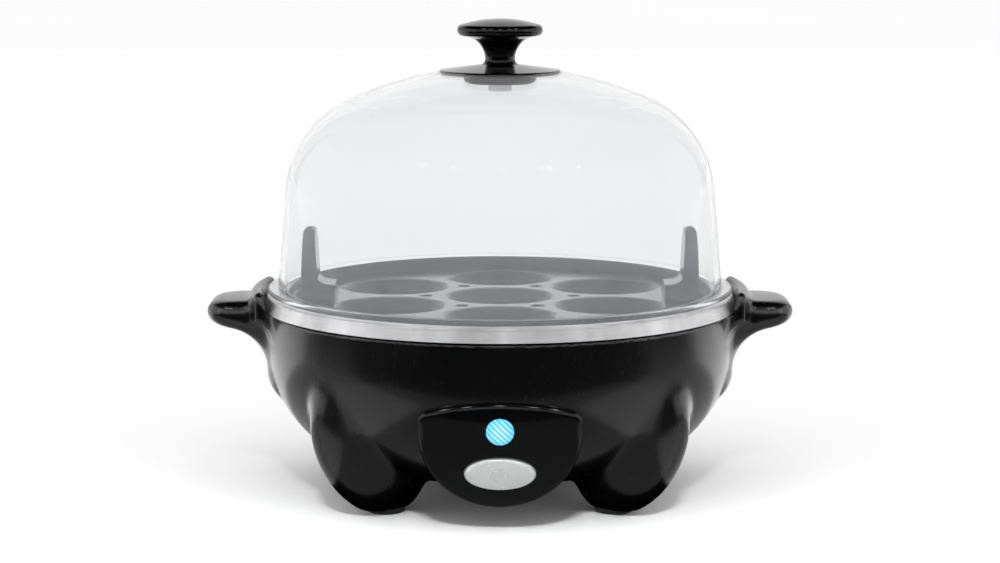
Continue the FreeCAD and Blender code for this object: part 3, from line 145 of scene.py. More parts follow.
def make_world(strength):
    """An even pale sky that lights the scene but leaves the mirror reflections to the soft boxes."""
    world = bpy.data.worlds.new("Studio")
    world.use_nodes = True
    background = world.node_tree.nodes["Background"]
    background.inputs["Color"].default_value = (1.0, 1.0, 1.0, 1.0)
    background.inputs["Strength"].default_value = strength
    world.cycles_visibility.glossy = False
    bpy.context.scene.world = world
    bpy.context.scene.view_settings.view_transform = "Standard"


def make_floor():
    """A pale floor in two sheets: only the one behind the cooker shows in mirror reflections."""
    half = FLOOR_HALF_WIDTH
    finish = floor_material()
    sheets = (("studio_floor_front", -half, FLOOR_SEAM_Y), ("studio_floor_back", FLOOR_SEAM_Y, half))
    for name, near, far in sheets:
        mesh = bpy.data.meshes.new(name)
        corners = [(-half, near, 0), (half, near, 0), (half, far, 0), (-half, far, 0)]
        mesh.from_pydata(corners, [], [(0, 1, 2, 3)])
        mesh.materials.append(finish)
        floor = bpy.data.objects.new(name, mesh)
        floor.visible_glossy = name.endswith("back")
        bpy.context.scene.collection.objects.link(floor)


def in_front(azimuth, distance, z):
    """A place before the cooker, turned sideways by azimuth degrees."""
    turn = math.radians(azimuth)
    return distance * math.sin(turn), -distance * math.cos(turn), z


def make_lights():
    """An even sky, a beam for the floor in front, and soft boxes and small lamps for the reflections."""
    make_world(SKY_STRENGTH)
    # lights the floor before the cooker and shows in no reflection
    beam = soft_box("beam_low", (0.0, -0.95, 0.7), 1.4, 0.3, 1.25, towards=(0.0, -0.25, 0.0))
    beam.data.spread = math.radians(10.0)
    beam.visible_diffuse = True
    beam.visible_glossy = False
    # pale walls beside and behind the cooker
    for side in (-1, 1):
        soft_box("box_wing", (side * 1.3, 0.42, 0.45), 1.95, 0.9, 1.1, towards=(0.0, 0.42, 0.45))
    soft_box("box_back", (0.0, 2.2, 0.9), 3.4, 1.8, 1.0)
    # boxes in front, for the band and the tops of the handles
    for azimuth in FRONT_BOX_AZIMUTHS:
        soft_box("box_front", in_front(azimuth, 1.5, 0.62), 1.5, 0.7, 1.35)
    # what the bowl and the legs mirror in place of the floor
    for x, y, width, depth, radiance in LOW_SHEETS:
        soft_box("box_low", (x, y, LOW_SHEET_Z), width, depth, radiance, towards=(x, y + 0.0001, 1.0))
    # sparkle on the glossy edges
    for azimuth in LAMP_AZIMUTHS:
        soft_box("lamp_small", in_front(azimuth, 1.1, 1.15), 0.13, 0.13, 26.0)


# ---------------------------------------------------------------- material building


class Material:
    """A node material with short calls for the nodes that the finishes here share."""

    def __init__(self, name, **sockets):
        self.data = bpy.data.materials.new(name)
        self.data.use_nodes = True
        self.tree = self.data.node_tree
        self.shader = self.tree.nodes["Principled BSDF"]
        for socket, value in sockets.items():
            self.shader.inputs[socket.replace("_", " ")].default_value = value
        coordinates = self.tree.nodes.new("ShaderNodeTexCoord")
        self.position = coordinates.outputs["Object"]

    def node(self, kind, **settings):
        item = self.tree.nodes.new("ShaderNode" + kind)
        for name, value in settings.items():
            setattr(item, name, value)
        return item

    def link(self, output, target):
        self.tree.links.new(output, target)

    def mapped(self, scale=(1.0, 1.0, 1.0), turn=(0.0, 0.0, 0.0)):
        """The object's own position, stretched or turned."""
        item = self.node("Mapping")
        item.inputs["Scale"].default_value = scale
        item.inputs["Rotation"].default_value = turn
        self.link(self.position, item.inputs["Vector"])
        return item.outputs["Vector"]

    def noise(self, scale, detail, roughness=0.55, vector=None):
        item = self.node("TexNoise")
        item.inputs["Scale"].default_value = scale
        item.inputs["Detail"].default_value = detail
        item.inputs["Roughness"].default_value = roughness
        self.link(vector or self.position, item.inputs["Vector"])
        return item.outputs["Fac"]

    def ramp(self, source, low, high, from_low=0.3, from_high=0.7):
        """A value drawn from low to high as the source goes from from_low to from_high."""
        item = self.node("MapRange")
        item.inputs["From Min"].default_value = from_low
        item.inputs["From Max"].default_value = from_high
        item.inputs["To Min"].default_value = low
        item.inputs["To Max"].default_value = high
        self.link(source, item.inputs["Value"])
        return item.outputs["Result"]

    def joined(self, first, second, third):
        """A vector from three values."""
        item = self.node("CombineXYZ")
        for value, socket in zip((first, second, third), item.inputs):
            self.link(value, socket)
        return item.outputs[0]

    def mix(self, factor, first, second):
        """A colour between two colours or sockets."""
        item = self.node("Mix", data_type="RGBA")
        self.link(factor, item.inputs["Factor"])
        for value, socket in ((first, item.inputs[6]), (second, item.inputs[7])):
            if isinstance(value, tuple):
                socket.default_value = (*value, 1.0)
            else:
                self.link(value, socket)
        return item.outputs[2]

    def maths(self, operation, first, second):
        item = self.node("Math", operation=operation)
        for value, socket in ((first, item.inputs[0]), (second, item.inputs[1])):
            if isinstance(value, (int, float)):
                socket.default_value = value
            else:
                self.link(value, socket)
        return item.outputs[0]

    def bump(self, height, strength, distance, below=None):
        """Relief; several reliefs stack when each is given the one below it."""
        item = self.node("Bump")
        item.inputs["Strength"].default_value = strength
        item.inputs["Distance"].default_value = distance
        self.link(height, item.inputs["Height"])
        if below is not None:
            self.link(below, item.inputs["Normal"])
        return item.outputs["Normal"]

    def edges(self, low, high):
        """Where the surface is convex, for wear along edges."""
        geometry = self.node("NewGeometry")
        return self.ramp(geometry.outputs["Pointiness"], 0.0, 1.0, low, high)

    def set(self, socket, output):
        self.link(output, self.shader.inputs[socket])


def floor_material():
    """Pale backdrop paper."""
    finish = Material("floor_pale", Roughness=0.75, Specular_IOR_Level=0.1)
    patches = finish.ramp(finish.noise(0.8, 4.0), 0.0, 1.0)
    finish.set("Base Color", finish.mix(patches, (0.95, 0.95, 0.95), (0.97, 0.97, 0.97)))
    grain = finish.noise(300.0, 2.0)
    finish.set("Normal", finish.bump(grain, 0.05, 0.0005))
    return finish.data


def gloss_plastic(name, roughness, coat, coat_roughness, shine=0.5):
    """Moulded black plastic: slow ripple from the mould, faint haze and hairlines, paler rubbed edges."""
    finish = Material(name, IOR=1.5, Specular_IOR_Level=shine, Coat_Weight=coat,
                      Coat_Roughness=coat_roughness, Coat_IOR=1.5)
    haze = finish.noise(38.0, 4.0)
    hairlines = finish.noise(900.0, 2.0, vector=finish.mapped((1.0, 0.12, 0.25), (0.2, 0.1, 0.6)))
    rubbed = finish.edges(0.54, 0.68)
    base = finish.mix(finish.ramp(haze, 0.0, 1.0), (0.0011, 0.0012, 0.0014), (0.0019, 0.0020, 0.0023))
    finish.set("Base Color", finish.mix(rubbed, base, (0.006, 0.006, 0.007)))
    smooth = finish.ramp(haze, roughness, roughness + 0.06)
    finish.set("Roughness", finish.maths("ADD", smooth, finish.ramp(hairlines, 0.0, 0.05, 0.55, 0.8)))
    ripple = finish.bump(finish.noise(22.0, 1.0), 0.10, 0.0004)
    finish.set("Normal", finish.bump(hairlines, 0.008, 0.00005, below=ripple))
    return finish.data


def matte_plastic(name, dark, light, roughness=0.55):
    """Fine spark-eroded texture on moulded plastic."""
    finish = Material(name, IOR=1.48)
    grain = finish.noise(1400.0, 3.0)
    patches = finish.noise(60.0, 4.0)
    finish.set("Base Color", finish.mix(finish.ramp(patches, 0.0, 1.0), dark, light))
    finish.set("Roughness", finish.ramp(grain, roughness - 0.08, roughness + 0.1))
    finish.set("Normal", finish.bump(grain, 0.25, 0.00008))
    return finish.data


def clear_plastic():
    """Clear plastic with a faint milky haze: mostly transmission, hazier in slow clouds."""
    finish = Material("clear_plastic", IOR=1.10, Transmission_Weight=0.92)
    clouds = finish.noise(26.0, 3.0)
    scuffs = finish.noise(700.0, 2.0, vector=finish.mapped((1.0, 1.0, 0.2)))
    share = finish.ramp(clouds, 0.0, 1.0)
    finish.set("Base Color", finish.mix(share, (0.936, 0.939, 0.945), (0.948, 0.951, 0.956)))
    haze = finish.ramp(clouds, 0.02, 0.045)
    finish.set("Roughness", finish.maths("ADD", haze, finish.ramp(scuffs, 0.0, 0.05, 0.6, 0.85)))
    finish.set("Normal", finish.bump(finish.noise(30.0, 1.0), 0.05, 0.0004))
    return finish.data


def smoke_plastic():
    """Smoky translucent moulding."""
    finish = Material("smoke_plastic", IOR=1.45, Transmission_Weight=0.5)
    clouds = finish.noise(45.0, 3.0)
    grain = finish.noise(900.0, 2.0)
    share = finish.ramp(clouds, 0.0, 1.0)
    finish.set("Base Color", finish.mix(share, (0.075, 0.084, 0.112), (0.112, 0.122, 0.155)))
    finish.set("Roughness", finish.ramp(clouds, 0.10, 0.18))
    finish.set("Normal", finish.bump(grain, 0.08, 0.00008))
    return finish.data


def spun_steel(name, tone, lane_scale, roughness, anisotropy, relief):
    """Sheet brushed round the Z axis: hair-fine rings, soft blotches where the grit was worn."""
    finish = Material(name, Metallic=1.0, Anisotropic=anisotropy, Anisotropic_Rotation=0.25)
    split = finish.node("SeparateXYZ")
    finish.link(finish.position, split.inputs[0])
    east, north, height = split.outputs
    east_squared = finish.maths("MULTIPLY", east, east)
    north_squared = finish.maths("MULTIPLY", north, north)
    radius = finish.maths("POWER", finish.maths("ADD", east_squared, north_squared), 0.5)
    turn = finish.maths("ARCTAN2", north, east)
    lanes = finish.joined(finish.maths("MULTIPLY", turn, 0.0025), radius, height)
    rings = finish.noise(lane_scale, 5.0, 0.7, vector=lanes)
    low_height = finish.maths("MULTIPLY", height, 0.3)
    patches = finish.joined(finish.maths("MULTIPLY", turn, 0.08), radius, low_height)
    blotches = finish.noise(70.0, 3.0, vector=patches)
    dark = tuple(channel * 0.74 for channel in tone)
    bright = tuple(min(channel * 1.15, 0.95) for channel in tone)
    streaked = finish.mix(finish.ramp(rings, 0.0, 1.0, 0.35, 0.65), dark, tone)
    finish.set("Base Color", finish.mix(finish.ramp(blotches, 0.0, 1.0, 0.4, 0.65), streaked, bright))
    finish.set("Roughness", finish.ramp(rings, roughness - 0.04, roughness + 0.08))
    finish.set("Normal", finish.bump(rings, relief, 0.00004))
    return finish.data


def plain_metal(name, tone, roughness=0.32):
    """Drawn or stamped metal with a fine grain and dull patches."""
    finish = Material(name, Metallic=1.0)
    grain = finish.noise(500.0, 4.0, vector=finish.mapped((1.0, 1.0, 0.1)))
    patches = finish.noise(90.0, 3.0)
    dark = tuple(channel * 0.78 for channel in tone)
    finish.set("Base Color", finish.mix(finish.ramp(patches, 0.0, 1.0), dark, tone))
    finish.set("Roughness", finish.ramp(grain, roughness - 0.08, roughness + 0.12))
    finish.set("Normal", finish.bump(grain, 0.1, 0.00005))
    return finish.data


def silver_paint():
    """Satin silver lacquer with fine flake, and a painted highlight that makes its rounded edges brighter."""
    finish = Material("silver_paint", Metallic=0.35, Coat_Weight=0.25, Coat_Roughness=0.25)
    flake = finish.noise(5200.0, 2.0)
    cloud = finish.noise(120.0, 3.0)
    base = finish.mix(finish.ramp(flake, 0.0, 1.0, 0.35, 0.65), (0.47, 0.48, 0.48), (0.58, 0.59, 0.59))
    # painted highlight: the colour turns paler on the rounded edges, standing in for the light they catch
    finish.set("Base Color", finish.mix(finish.edges(0.53, 0.64), base, (0.74, 0.75, 0.76)))
    finish.set("Roughness", finish.ramp(cloud, 0.36, 0.46))
    finish.set("Normal", finish.bump(flake, 0.08, 0.00003))
    return finish.data


def rubber(name, dark, light):
    """Rubber or silicone with a fine matt grain."""
    finish = Material(name, IOR=1.45, Sheen_Weight=0.05, Sheen_Roughness=0.5)
    grain = finish.noise(900.0, 4.0)
    patches = finish.noise(70.0, 3.0)
    finish.set("Base Color", finish.mix(finish.ramp(patches, 0.0, 1.0), dark, light))
    finish.set("Roughness", finish.ramp(grain, 0.62, 0.82))
    finish.set("Normal", finish.bump(grain, 0.2, 0.0001))
    return finish.data


def blue_lens(centre):
    """Tinted lens lit from behind, palest over the lamp."""
    finish = Material("blue_lens", IOR=1.5, Coat_Weight=0.6, Coat_Roughness=0.05, Emission_Strength=0.9)
    offset = finish.node("VectorMath", operation="DISTANCE")
    finish.link(finish.position, offset.inputs[0])
    offset.inputs[1].default_value = centre
    glow_core, glow_edge = 0.0006, 0.0046
    glow = finish.ramp(offset.outputs["Value"], 1.0, 0.0, glow_core, glow_edge)
    flecks = finish.noise(900.0, 2.0)
    split = finish.node("SeparateXYZ")
    finish.link(finish.position, split.inputs[0])
    east, _, height = split.outputs
    slants = finish.maths("PINGPONG", finish.maths("ADD", east, height), LENS_PRISM_PITCH * MM * DIAGONAL)
    lines = finish.ramp(slants, 0.0, 1.0, 0.0, LENS_PRISM_PITCH * MM * 0.5)
    lit = finish.mix(glow, (0.09, 0.52, 0.70), (1.0, 1.0, 1.0))
    finish.set("Base Color", finish.mix(flecks, (0.01, 0.16, 0.36), (0.03, 0.26, 0.48)))
    finish.set("Emission Color", finish.mix(lines, (0.01, 0.22, 0.46), lit))
    finish.set("Roughness", finish.ramp(flecks, 0.08, 0.18))
    return finish.data


def lamp_clear():
    """Clear lamp body, glowing blue."""
    finish = Material("lamp_clear", IOR=1.5, Transmission_Weight=0.6, Emission_Strength=2.0)
    clouds = finish.noise(300.0, 2.0)
    finish.set("Base Color", finish.mix(finish.ramp(clouds, 0.0, 1.0), (0.6, 0.8, 1.0), (0.8, 0.9, 1.0)))
    finish.set("Emission Color", finish.mix(finish.ramp(clouds, 0.0, 1.0), (0.05, 0.5, 1.0), (0.2, 0.7, 1.0)))
    finish.set("Roughness", finish.ramp(clouds, 0.1, 0.2))
    return finish.data


def board_green():
    """Solder mask, paler where copper shows through in patches."""
    finish = Material("board_green", IOR=1.5, Coat_Weight=0.5, Coat_Roughness=0.2)
    tracks = finish.noise(240.0, 1.0, vector=finish.mapped((1.0, 1.0, 0.3)))
    copper = finish.ramp(tracks, 0.0, 1.0, 0.48, 0.52)
    finish.set("Base Color", finish.mix(copper, (0.01, 0.10, 0.04), (0.03, 0.17, 0.06)))
    finish.set("Roughness", finish.ramp(tracks, 0.3, 0.45))
    finish.set("Normal", finish.bump(tracks, 0.2, 0.0001))
    return finish.data


def woven_sleeve():
    """Glass-fibre sleeve: fine crossing ribs."""
    finish = Material("lead_sleeve", IOR=1.45)
    weave = finish.node("TexWave", wave_type="BANDS", bands_direction="DIAGONAL")
    weave.inputs["Scale"].default_value = 900.0
    weave.inputs["Distortion"].default_value = 2.0
    finish.link(finish.position, weave.inputs["Vector"])
    finish.set("Base Color", finish.mix(weave.outputs["Fac"], (0.52, 0.51, 0.46), (0.72, 0.71, 0.66)))
    finish.set("Roughness", finish.ramp(weave.outputs["Fac"], 0.6, 0.8, 0.0, 1.0))
    finish.set("Normal", finish.bump(weave.outputs["Fac"], 0.4, 0.0001))
    return finish.data


def make_materials():
    """The finish of every slot in the record, and a softer gloss for the housing."""
    return {
        "clear_plastic": clear_plastic(),
        "smoke_plastic": smoke_plastic(),
        "black_gloss": gloss_plastic("black_gloss", 0.10, 0.12, 0.04, 0.2),
        "black_gloss_body": gloss_plastic("black_gloss_body", 0.22, 0.25, 0.12),
        "black_matte": matte_plastic("black_matte", (0.012, 0.012, 0.013), (0.02, 0.02, 0.021)),
        "brushed_steel": spun_steel("brushed_steel", (0.80, 0.80, 0.81), 2600.0, 0.44, 0.8, 0.12),
        "steel": plain_metal("steel", (0.62, 0.62, 0.63)),
        "brass": plain_metal("brass", (0.80, 0.62, 0.30), 0.28),
        "aluminium": spun_steel("aluminium", (0.66, 0.67, 0.68), 1400.0, 0.38, 0.3, 0.2),
        "silicone": rubber("silicone", (0.55, 0.55, 0.54), (0.64, 0.64, 0.63)),
        "rubber": rubber("rubber", (0.012, 0.012, 0.012), (0.022, 0.022, 0.022)),
        "silver_paint": silver_paint(),
        "blue_lens": blue_lens(along_panel(LENS_Z, 0.0, -1.2)),
        "lamp_clear": lamp_clear(),
        "board_green": board_green(),
        "block_white": matte_plastic("block_white", (0.60, 0.60, 0.55), (0.70, 0.70, 0.66), 0.45),
        "lead_sleeve": woven_sleeve(),
    }


def paint_nodes(materials):
    """Every CAD node takes the finish of its slot in the record."""
    for part in frame["record"]["subparts"]:
        mesh = frame["nodes"][part["node"]].data
        mesh.materials.clear()
        mesh.materials.append(materials[part["material_slot"]])


# ---------------------------------------------------------------- the housing's surface
#
# The housing is one moulding whose legs and handles flow out of the bowl. Its surface is where a field of
# millimetre distances is zero: each form is a distance, and soft unions and soft cuts blend them.

BOWL_TURN_RADIUS = 40.0
BOWL_TURN_Z = 50.0
BOWL_RADIUS = 75.8
SHOULDER_Z = 60.9
SHOULDER_ROUND = 1.0
LIP_RADIUS = 74.6
LIP_TOP_Z = 63.8
LIP_ROUND = 0.6
LIP_WALL = 1.8
WALL = 2.4
ROOF = 4.5

LEG_AZIMUTH = math.radians(43.0)
LEG_RADIUS = 55.6
LEG_Z = 24.4
LEG_HALF_AXES = (27.0, 19.0, 14.2)
LEG_LEAN = math.radians(30.0)
LEG_FLAT_Z = 1.0
LEG_FLAT_ROUND = 1.2
LEG_FLOOR = 4.6
LEG_BLEND = 3.5

HANDLE_HALF_WIDTH = 14.8
HANDLE_CORNER = 9.5
HANDLE_TOP_Z = 64.2
HANDLE_CROWN = 0.0024
HANDLE_FLAT_X = 82.4
HANDLE_DROOP_RADIUS = 90.0
HANDLE_TIP_LOW_Z = 56.25
# arcs of the handles' underside: distance of the centre from the axis, its height, and the radius
FAIRING = (89.9, 41.0, 14.0)
TAIL = (63.9, 41.0, 12.0)
FAIRING_END_X = 87.23
FAIRING_END_Z = 54.74
HANDLE_ROUND = 4.5
HANDLE_BLEND = 8.0

COLLAR_MIDDLE = 78.8
COLLAR_HALF_WALL = 1.6
COLLAR_TOP_Z = 67.7
COLLAR_BASE_Z = 58.5
COLLAR_HALF_ANGLE = math.radians(14.5)
COLLAR_ROUND = 2.4
COLLAR_BASE_ROUND = 1.0
COLLAR_BLEND = 3.0

PAN_SPACE_RADIUS = 77.2
PAN_SPACE_ROUND = 0.4

BOSS_RADIUS = 9.0
BOSS_START_Y = 48.0
BOSS_END_Y = 72.0
BOSS_Z = 24.0
BOSS_BLEND = 1.6
BORE_RADIUS = 6.3
BORE_START_Y = 40.0
FLOOR_OPENING = 22.0
SOCKET_RADIUS = 6.1
SOCKET_LOW_Z = -5.0

TINY = 1e-9


def either(first, second, blend):
    """The union of two forms, with a parabolic fillet where they come within blend of each other."""
    near = np.clip(blend - np.abs(first - second), 0.0, None) / blend
    return np.minimum(first, second) - near * near * blend * 0.25


def both(first, second, blend):
    """Where two forms overlap, its edges rounded by blend."""
    return -either(-first, -second, blend)


def without(form, tool, blend):
    """A form with another cut out of it, the edges rounded by blend."""
    return both(form, -tool, blend)


def bowl_field(x, y, z):
    """Round bowl: a straight side above a quarter-circle turn down to the flat bottom."""
    reach = np.hypot(x, y)
    outward = np.clip(reach - (BOWL_RADIUS - BOWL_TURN_RADIUS), 0.0, None)
    downward = np.clip(BOWL_TURN_Z - z, 0.0, None)
    return np.hypot(outward, downward) - BOWL_TURN_RADIUS


def leg_field(x, y, z):
    """Leaning ellipsoid; the other three are its mirror images."""
    along = np.abs(x) * math.cos(LEG_AZIMUTH) + np.abs(y) * math.sin(LEG_AZIMUTH) - LEG_RADIUS
    across = np.abs(y) * math.cos(LEG_AZIMUTH) - np.abs(x) * math.sin(LEG_AZIMUTH)
    above = z - LEG_Z
    local = (along * math.sin(LEG_LEAN) + above * math.cos(LEG_LEAN),
             along * math.cos(LEG_LEAN) - above * math.sin(LEG_LEAN), across)
    scaled = np.sqrt(sum((part / half) ** 2 for part, half in zip(local, LEG_HALF_AXES)))
    slope = np.sqrt(sum((part / half ** 2) ** 2 for part, half in zip(local, LEG_HALF_AXES)))
    return scaled * (scaled - 1.0) / np.maximum(slope, TINY)


def lug_field(x, y, z):
    """The handles' rounded outline and crowned top, still running straight down to the ground."""
    x = np.abs(x)
    half_length = HOUSING_HIGH[0] - HANDLE_CORNER
    past_tip = x - half_length
    past_side = np.abs(y) - (HANDLE_HALF_WIDTH - HANDLE_CORNER)
    corner = np.hypot(np.clip(past_tip, 0.0, None), np.clip(past_side, 0.0, None))
    plan = corner + np.minimum(np.maximum(past_tip, past_side), 0.0) - HANDLE_CORNER
    droop = np.clip(x - HANDLE_FLAT_X, 0.0, None) ** 2 / (2.0 * HANDLE_DROOP_RADIUS)
    top = z - (HANDLE_TOP_Z - droop - HANDLE_CROWN * y * y)
    return both(plan, top, HANDLE_ROUND)


def fairing_field(x, y, z):
    """The space above the handles' underside, which sweeps down and in to meet the bowl."""
    reach = np.hypot(x, y)
    slope = (HANDLE_TIP_LOW_Z - FAIRING_END_Z) / (HOUSING_HIGH[0] - FAIRING_END_X)
    flat_under = FAIRING_END_Z + slope * (reach - FAIRING_END_X) - z
    fairing_reach, fairing_z, fairing_radius = FAIRING
    arc_under = fairing_radius - np.hypot(reach - fairing_reach, z - fairing_z)
    tail_reach, tail_z, tail_radius = TAIL
    tail = np.hypot(reach - tail_reach, z - tail_z) - tail_radius
    under = np.where(reach > FAIRING_END_X, flat_under, np.where(z > fairing_z, arc_under, tail))
    return np.where((reach > FAIRING_END_X) & (z < fairing_z), fairing_radius, under)


def collar_field(x, y, z):
    """Upright arc wall at each handle's root, round along its top."""
    reach = np.hypot(x, y)
    turned = np.abs(np.arctan2(y, np.abs(x)))
    ring = np.abs(reach - COLLAR_MIDDLE) - COLLAR_HALF_WALL
    wall = both(ring, z - COLLAR_TOP_Z, COLLAR_ROUND)
    wall = both(wall, COLLAR_BASE_Z - z, COLLAR_BASE_ROUND)
    return both(wall, (turned - COLLAR_HALF_ANGLE) * reach, COLLAR_ROUND)


def drum(x, y, z, radius, low, high):
    """Upright cylinder on the Z axis."""
    return np.maximum(np.hypot(x, y) - radius, np.maximum(low - z, z - high))


def housing_field(x, y, z):
    """Distance to the whole moulding: bowl, legs, handles and collars, hollowed out."""
    reach = np.hypot(x, y)
    bowl = both(bowl_field(x, y, z), z - SHOULDER_Z, SHOULDER_ROUND)
    lip = both(reach - LIP_RADIUS, z - LIP_TOP_Z, LIP_ROUND)
    legs = leg_field(x, y, z)
    grips = either(lug_field(x, y, z), collar_field(x, y, z), COLLAR_BLEND)
    pan_space = np.maximum(reach - PAN_SPACE_RADIUS, SHOULDER_Z - z)
    flowing = either(bowl, grips, HANDLE_BLEND)
    flowing = both(flowing, np.minimum(bowl, fairing_field(x, y, z)), HANDLE_ROUND)
    outer = either(np.minimum(flowing, bowl), legs, LEG_BLEND)
    outer = without(outer, pan_space, PAN_SPACE_ROUND)
    outer = np.minimum(outer, np.maximum(lip, BOWL_TURN_Z - z))
    outer = both(outer, LEG_FLAT_Z - z, LEG_FLAT_ROUND)
    boss = np.maximum(np.hypot(x, z - BOSS_Z) - BOSS_RADIUS, np.maximum(BOSS_START_Y - y, y - BOSS_END_Y))
    outer = either(outer, boss, BOSS_BLEND)
    hollow = np.maximum(bowl_field(x, y, z) + WALL, z - SHOULDER_Z + ROOF)
    mouth = np.maximum(reach - (LIP_RADIUS - LIP_WALL), BOWL_TURN_Z - z)
    leg_hollow = np.maximum(legs + WALL, LEG_FLAT_Z + LEG_FLOOR - z)
    hollow = np.minimum(np.minimum(hollow, mouth), leg_hollow)
    solid = np.maximum(outer, -hollow)
    solid = np.maximum(solid, -drum(x, y, z, FLOOR_OPENING, 0.0, BOWL_TURN_Z))
    bore = np.maximum(np.hypot(x, z - BOSS_Z) - BORE_RADIUS, BORE_START_Y - y)
    solid = np.maximum(solid, -bore)
    pad_at = (PAD_LOW + PAD_HIGH) / 2.0
    east, north = np.abs(x) - pad_at[0], np.abs(y) - abs(pad_at[1])
    socket = drum(east, north, z, SOCKET_RADIUS, SOCKET_LOW_Z, PAD_HIGH[2])
    return np.maximum(solid, -socket)


def surface_mesh(name, field, low, high, step):
    """The zero surface of a field as quads, each vertex moved onto it, with the field's own normals."""
    rounds = 5
    longest_move = 0.5 * step
    least_slope_squared = 0.05
    axes = [np.arange(start, end + step, step) for start, end in zip(low, high)]
    x, y, z = np.meshgrid(*axes, indexing="ij")
    value = field(x, y, z)
    inside = value < 0.0
    shape = np.array(value.shape)
    cell_shape = tuple(shape - 1)
    total = np.zeros((*cell_shape, 3))
    count = np.zeros(cell_shape)
    crossings = []
    for axis in range(3):
        lower = [slice(None)] * 3
        upper = [slice(None)] * 3
        lower[axis] = slice(0, -1)
        upper[axis] = slice(1, None)
        lower, upper = tuple(lower), tuple(upper)
        crossed = inside[lower] != inside[upper]
        index = np.argwhere(crossed)
        before = value[lower][crossed]
        after = value[upper][crossed]
        point = index.astype(float)
        point[:, axis] += before / (before - after)
        crossings.append((axis, index, before < 0.0))
        others = [a for a in range(3) if a != axis]
        for first in (0, 1):
            for second in (0, 1):
                cell = index.copy()
                cell[:, others[0]] -= first
                cell[:, others[1]] -= second
                good = np.all((cell >= 0) & (cell < cell_shape), axis=1)
                keys = tuple(cell[good].T)
                np.add.at(total, keys, point[good])
                np.add.at(count, keys, 1.0)
    active = count > 0
    number = np.full(cell_shape, -1)
    number[active] = np.arange(active.sum())
    points = total[active] / count[active][:, None] * step + np.array(low)
    faces = []
    for axis, index, leaving in crossings:
        first, second = [(axis + 1) % 3, (axis + 2) % 3]
        ring = []
        for back_first, back_second in ((0, 0), (1, 0), (1, 1), (0, 1)):
            cell = index.copy()
            cell[:, first] -= back_first
            cell[:, second] -= back_second
            ring.append(number[tuple(cell.T)])
        quads = np.stack(ring, axis=1)
        quads[~leaving] = quads[~leaving][:, ::-1]
        faces.append(quads)
    faces = np.concatenate(faces)
    for _ in range(rounds):
        distance, slope = field_slope(field, points)
        move = slope * (distance / np.maximum((slope ** 2).sum(1), least_slope_squared))[:, None]
        length = np.linalg.norm(move, axis=1)
        move *= np.minimum(1.0, longest_move / np.maximum(length, TINY))[:, None]
        points = points - move
    _, slope = field_slope(field, points)
    normals = slope / np.maximum(np.linalg.norm(slope, axis=1), TINY)[:, None]
    mesh = bpy.data.meshes.new(name)
    mesh.from_pydata((points * MM).tolist(), [], faces.tolist())
    mesh.polygons.foreach_set("use_smooth", [True] * len(mesh.polygons))
    mesh.update()
    mesh.normals_split_custom_set_from_vertices(normals.tolist())
    return mesh


def field_slope(field, points):
    """The field and its gradient at points."""
    reach = 0.03
    slope = np.zeros_like(points)
    for axis in range(3):
        shift = np.zeros(3)
        shift[axis] = reach
        ahead = field(*(points + shift).T)
        behind = field(*(points - shift).T)
        slope[:, axis] = (ahead - behind) / (2.0 * reach)
    return field(*points.T), slope


def add_piece(name, mesh, finish, body, node):
    """Shows a mesh in place of a CAD node, riding on the node's body."""
    mesh.materials.append(finish)
    piece = bpy.data.objects.new(name, mesh)
    bpy.context.scene.collection.objects.link(piece)
    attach(piece, body)
    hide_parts(node)


def make_housing(finish):
    """The bowl with its legs, handles and collars as one blended skin."""
    margin = 2.3
    step = 0.9
    mesh = surface_mesh("housing_moulding", housing_field, HOUSING_LOW - margin, HOUSING_HIGH + margin, step)
    add_piece("housing_moulding", mesh, finish, "base", "housing")


# ---------------------------------------------------------------- panel pieces


def ringed_mesh(name, level, rings, segments, smooth=True):
    """A closed form made of rings round the panel's normal.

    Each ring gives a place (sideways, up, out) for an angle.
    """
    bm = bmesh.new()
    loops = []
    for ring in rings:
        places = [ring(math.tau * index / segments) for index in range(segments)]
        loops.append([bm.verts.new(along_panel(level, up, out, side)) for side, up, out in places])
    for inner, outer in zip(loops, loops[1:]):
        for index in range(segments):
            after = (index + 1) % segments
            bm.faces.new((inner[index], outer[index], outer[after], inner[after]))
    for loop in (loops[0], loops[-1]):
        middle = sum((vert.co for vert in loop), Vector()) / segments
        hub = bm.verts.new(middle)
        for index in range(segments):
            bm.faces.new((hub, loop[index], loop[(index + 1) % segments]))
    bmesh.ops.recalc_face_normals(bm, faces=bm.faces)
    mesh = bpy.data.meshes.new(name)
    bm.to_mesh(mesh)
    bm.free()
    for face in mesh.polygons:
        face.use_smooth = smooth
    return mesh


def round_ring(reach, out):
    """A ring for ringed_mesh: a circle of radius reach."""
    return lambda angle: (reach * math.cos(angle), reach * math.sin(angle), out)


def power_mark(side, up):
    """How deep the power sign is pressed at a point of the button, from 0 to 1."""
    radius = 2.35
    half_gap = math.radians(44.0)
    bar_low, bar_high = 0.2, 2.75
    centre_drop = 0.3
    half_stroke = 0.46
    slope_width = 0.36
    up = up + centre_drop
    bar = math.hypot(side, max(bar_low - up, 0.0, up - bar_high))
    nearest = bar
    if abs(math.atan2(side, up)) >= half_gap:
        nearest = min(abs(math.hypot(side, up) - radius), bar)
    edge = nearest - half_stroke
    return min(1.0, max(0.0, 0.5 - edge / slope_width))


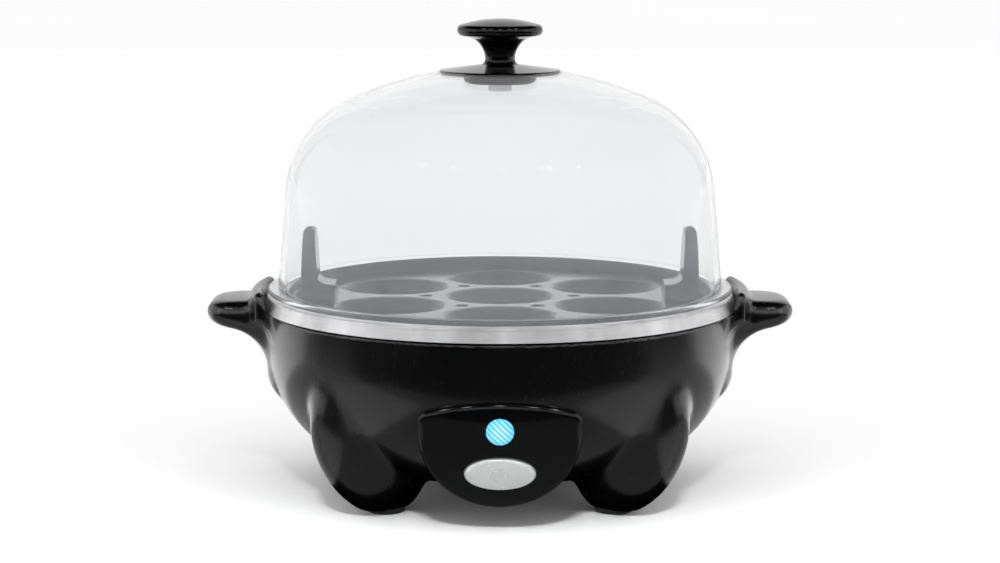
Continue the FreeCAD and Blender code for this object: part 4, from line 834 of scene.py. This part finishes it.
def make_button(finish):
    """Domed oval push button with a pressed power sign, its flange and its plunger."""
    wide, high = BUTTON_HALF
    crown_rings, rim_rings, segments = 96, 8, 192
    # the crown's innermost ring and its span, as shares of the button's half sizes
    crown_start, crown_span = 0.004, 0.911
    crown_edge_out, crown_rise = 0.2, 0.75
    mark_depth = 0.2
    rim_radius, rim_out = 0.9, 0.28
    # how far each ring grows past the oval, or its radius, and how far out it lies
    flange = ((0.0, -4.2), (1.1, -4.25), (1.25, -4.4), (1.25, -5.1), (1.1, -5.2))
    plunger = ((1.8, -5.2), (1.8, -8.6), (1.5, -8.8))

    def crown(scale):
        def ring(angle):
            side = wide * scale * math.cos(angle)
            up = high * scale * math.sin(angle)
            dome = crown_edge_out + crown_rise * (1.0 - scale ** 2)
            return side, up, dome - mark_depth * power_mark(side, up)
        return ring

    def oval(grow, out):
        return lambda angle: ((wide + grow) * math.cos(angle), (high + grow) * math.sin(angle), out)

    rings = [crown(crown_start + crown_span * index / crown_rings) for index in range(crown_rings + 1)]
    for step in range(1, rim_rings + 1):
        turn = math.radians(90.0 * step / rim_rings)
        inset = rim_radius * (1.0 - math.sin(turn))
        rings.append(oval(-inset, rim_out - rim_radius * (1.0 - math.cos(turn))))
    rings += [oval(grow, out) for grow, out in flange]
    rings += [round_ring(reach, out) for reach, out in plunger]
    mesh = ringed_mesh("power_button_cap", BUTTON_Z, rings, segments)
    add_piece("power_button_cap", mesh, finish, "power_button", "power_button")


def make_lens(finish):
    """Domed lens, knurled with crossing diagonal prisms, and its flange."""
    face_rings, segments = 52, 160
    prism_depth, crossing_share = 0.2, 0.55
    dome_rise, dome_edge_out = 0.85, -0.15
    plain_edge, fade_width = 0.35, 0.3
    hub_radius = 0.01
    back = ((0.0, -0.3), (0.0, -3.4), (1.2, -3.45), (1.3, -3.6), (1.3, -4.3), (1.1, -4.4))

    def prism(distance):
        return abs((distance / LENS_PRISM_PITCH) % 1.0 - 0.5) * 2.0

    def face(reach):
        def ring(angle):
            side = reach * math.cos(angle)
            up = reach * math.sin(angle)
            dome = dome_rise * (1.0 - (reach / LENS_RADIUS) ** 2) + dome_edge_out
            fade = min(1.0, max(0.0, (LENS_RADIUS - plain_edge - reach) / fade_width))
            facets = prism((side + up) * DIAGONAL) + crossing_share * prism((side - up) * DIAGONAL)
            return side, up, dome + prism_depth * facets * fade
        return ring

    span = LENS_RADIUS - 2.0 * hub_radius
    rings = [face(hub_radius + span * index / face_rings) for index in range(face_rings + 1)]
    rings += [round_ring(LENS_RADIUS + grow, out) for grow, out in back]
    mesh = ringed_mesh("indicator_lens_cap", LENS_Z, rings, segments, smooth=False)
    add_piece("indicator_lens_cap", mesh, finish, "base", "indicator_lens")


# ---------------------------------------------------------------- the scene

make_camera()
make_floor()
make_lights()
finishes = make_materials()
paint_nodes(finishes)
make_housing(finishes["black_gloss_body"])
make_button(finishes["silver_paint"])
make_lens(finishes["blue_lens"])
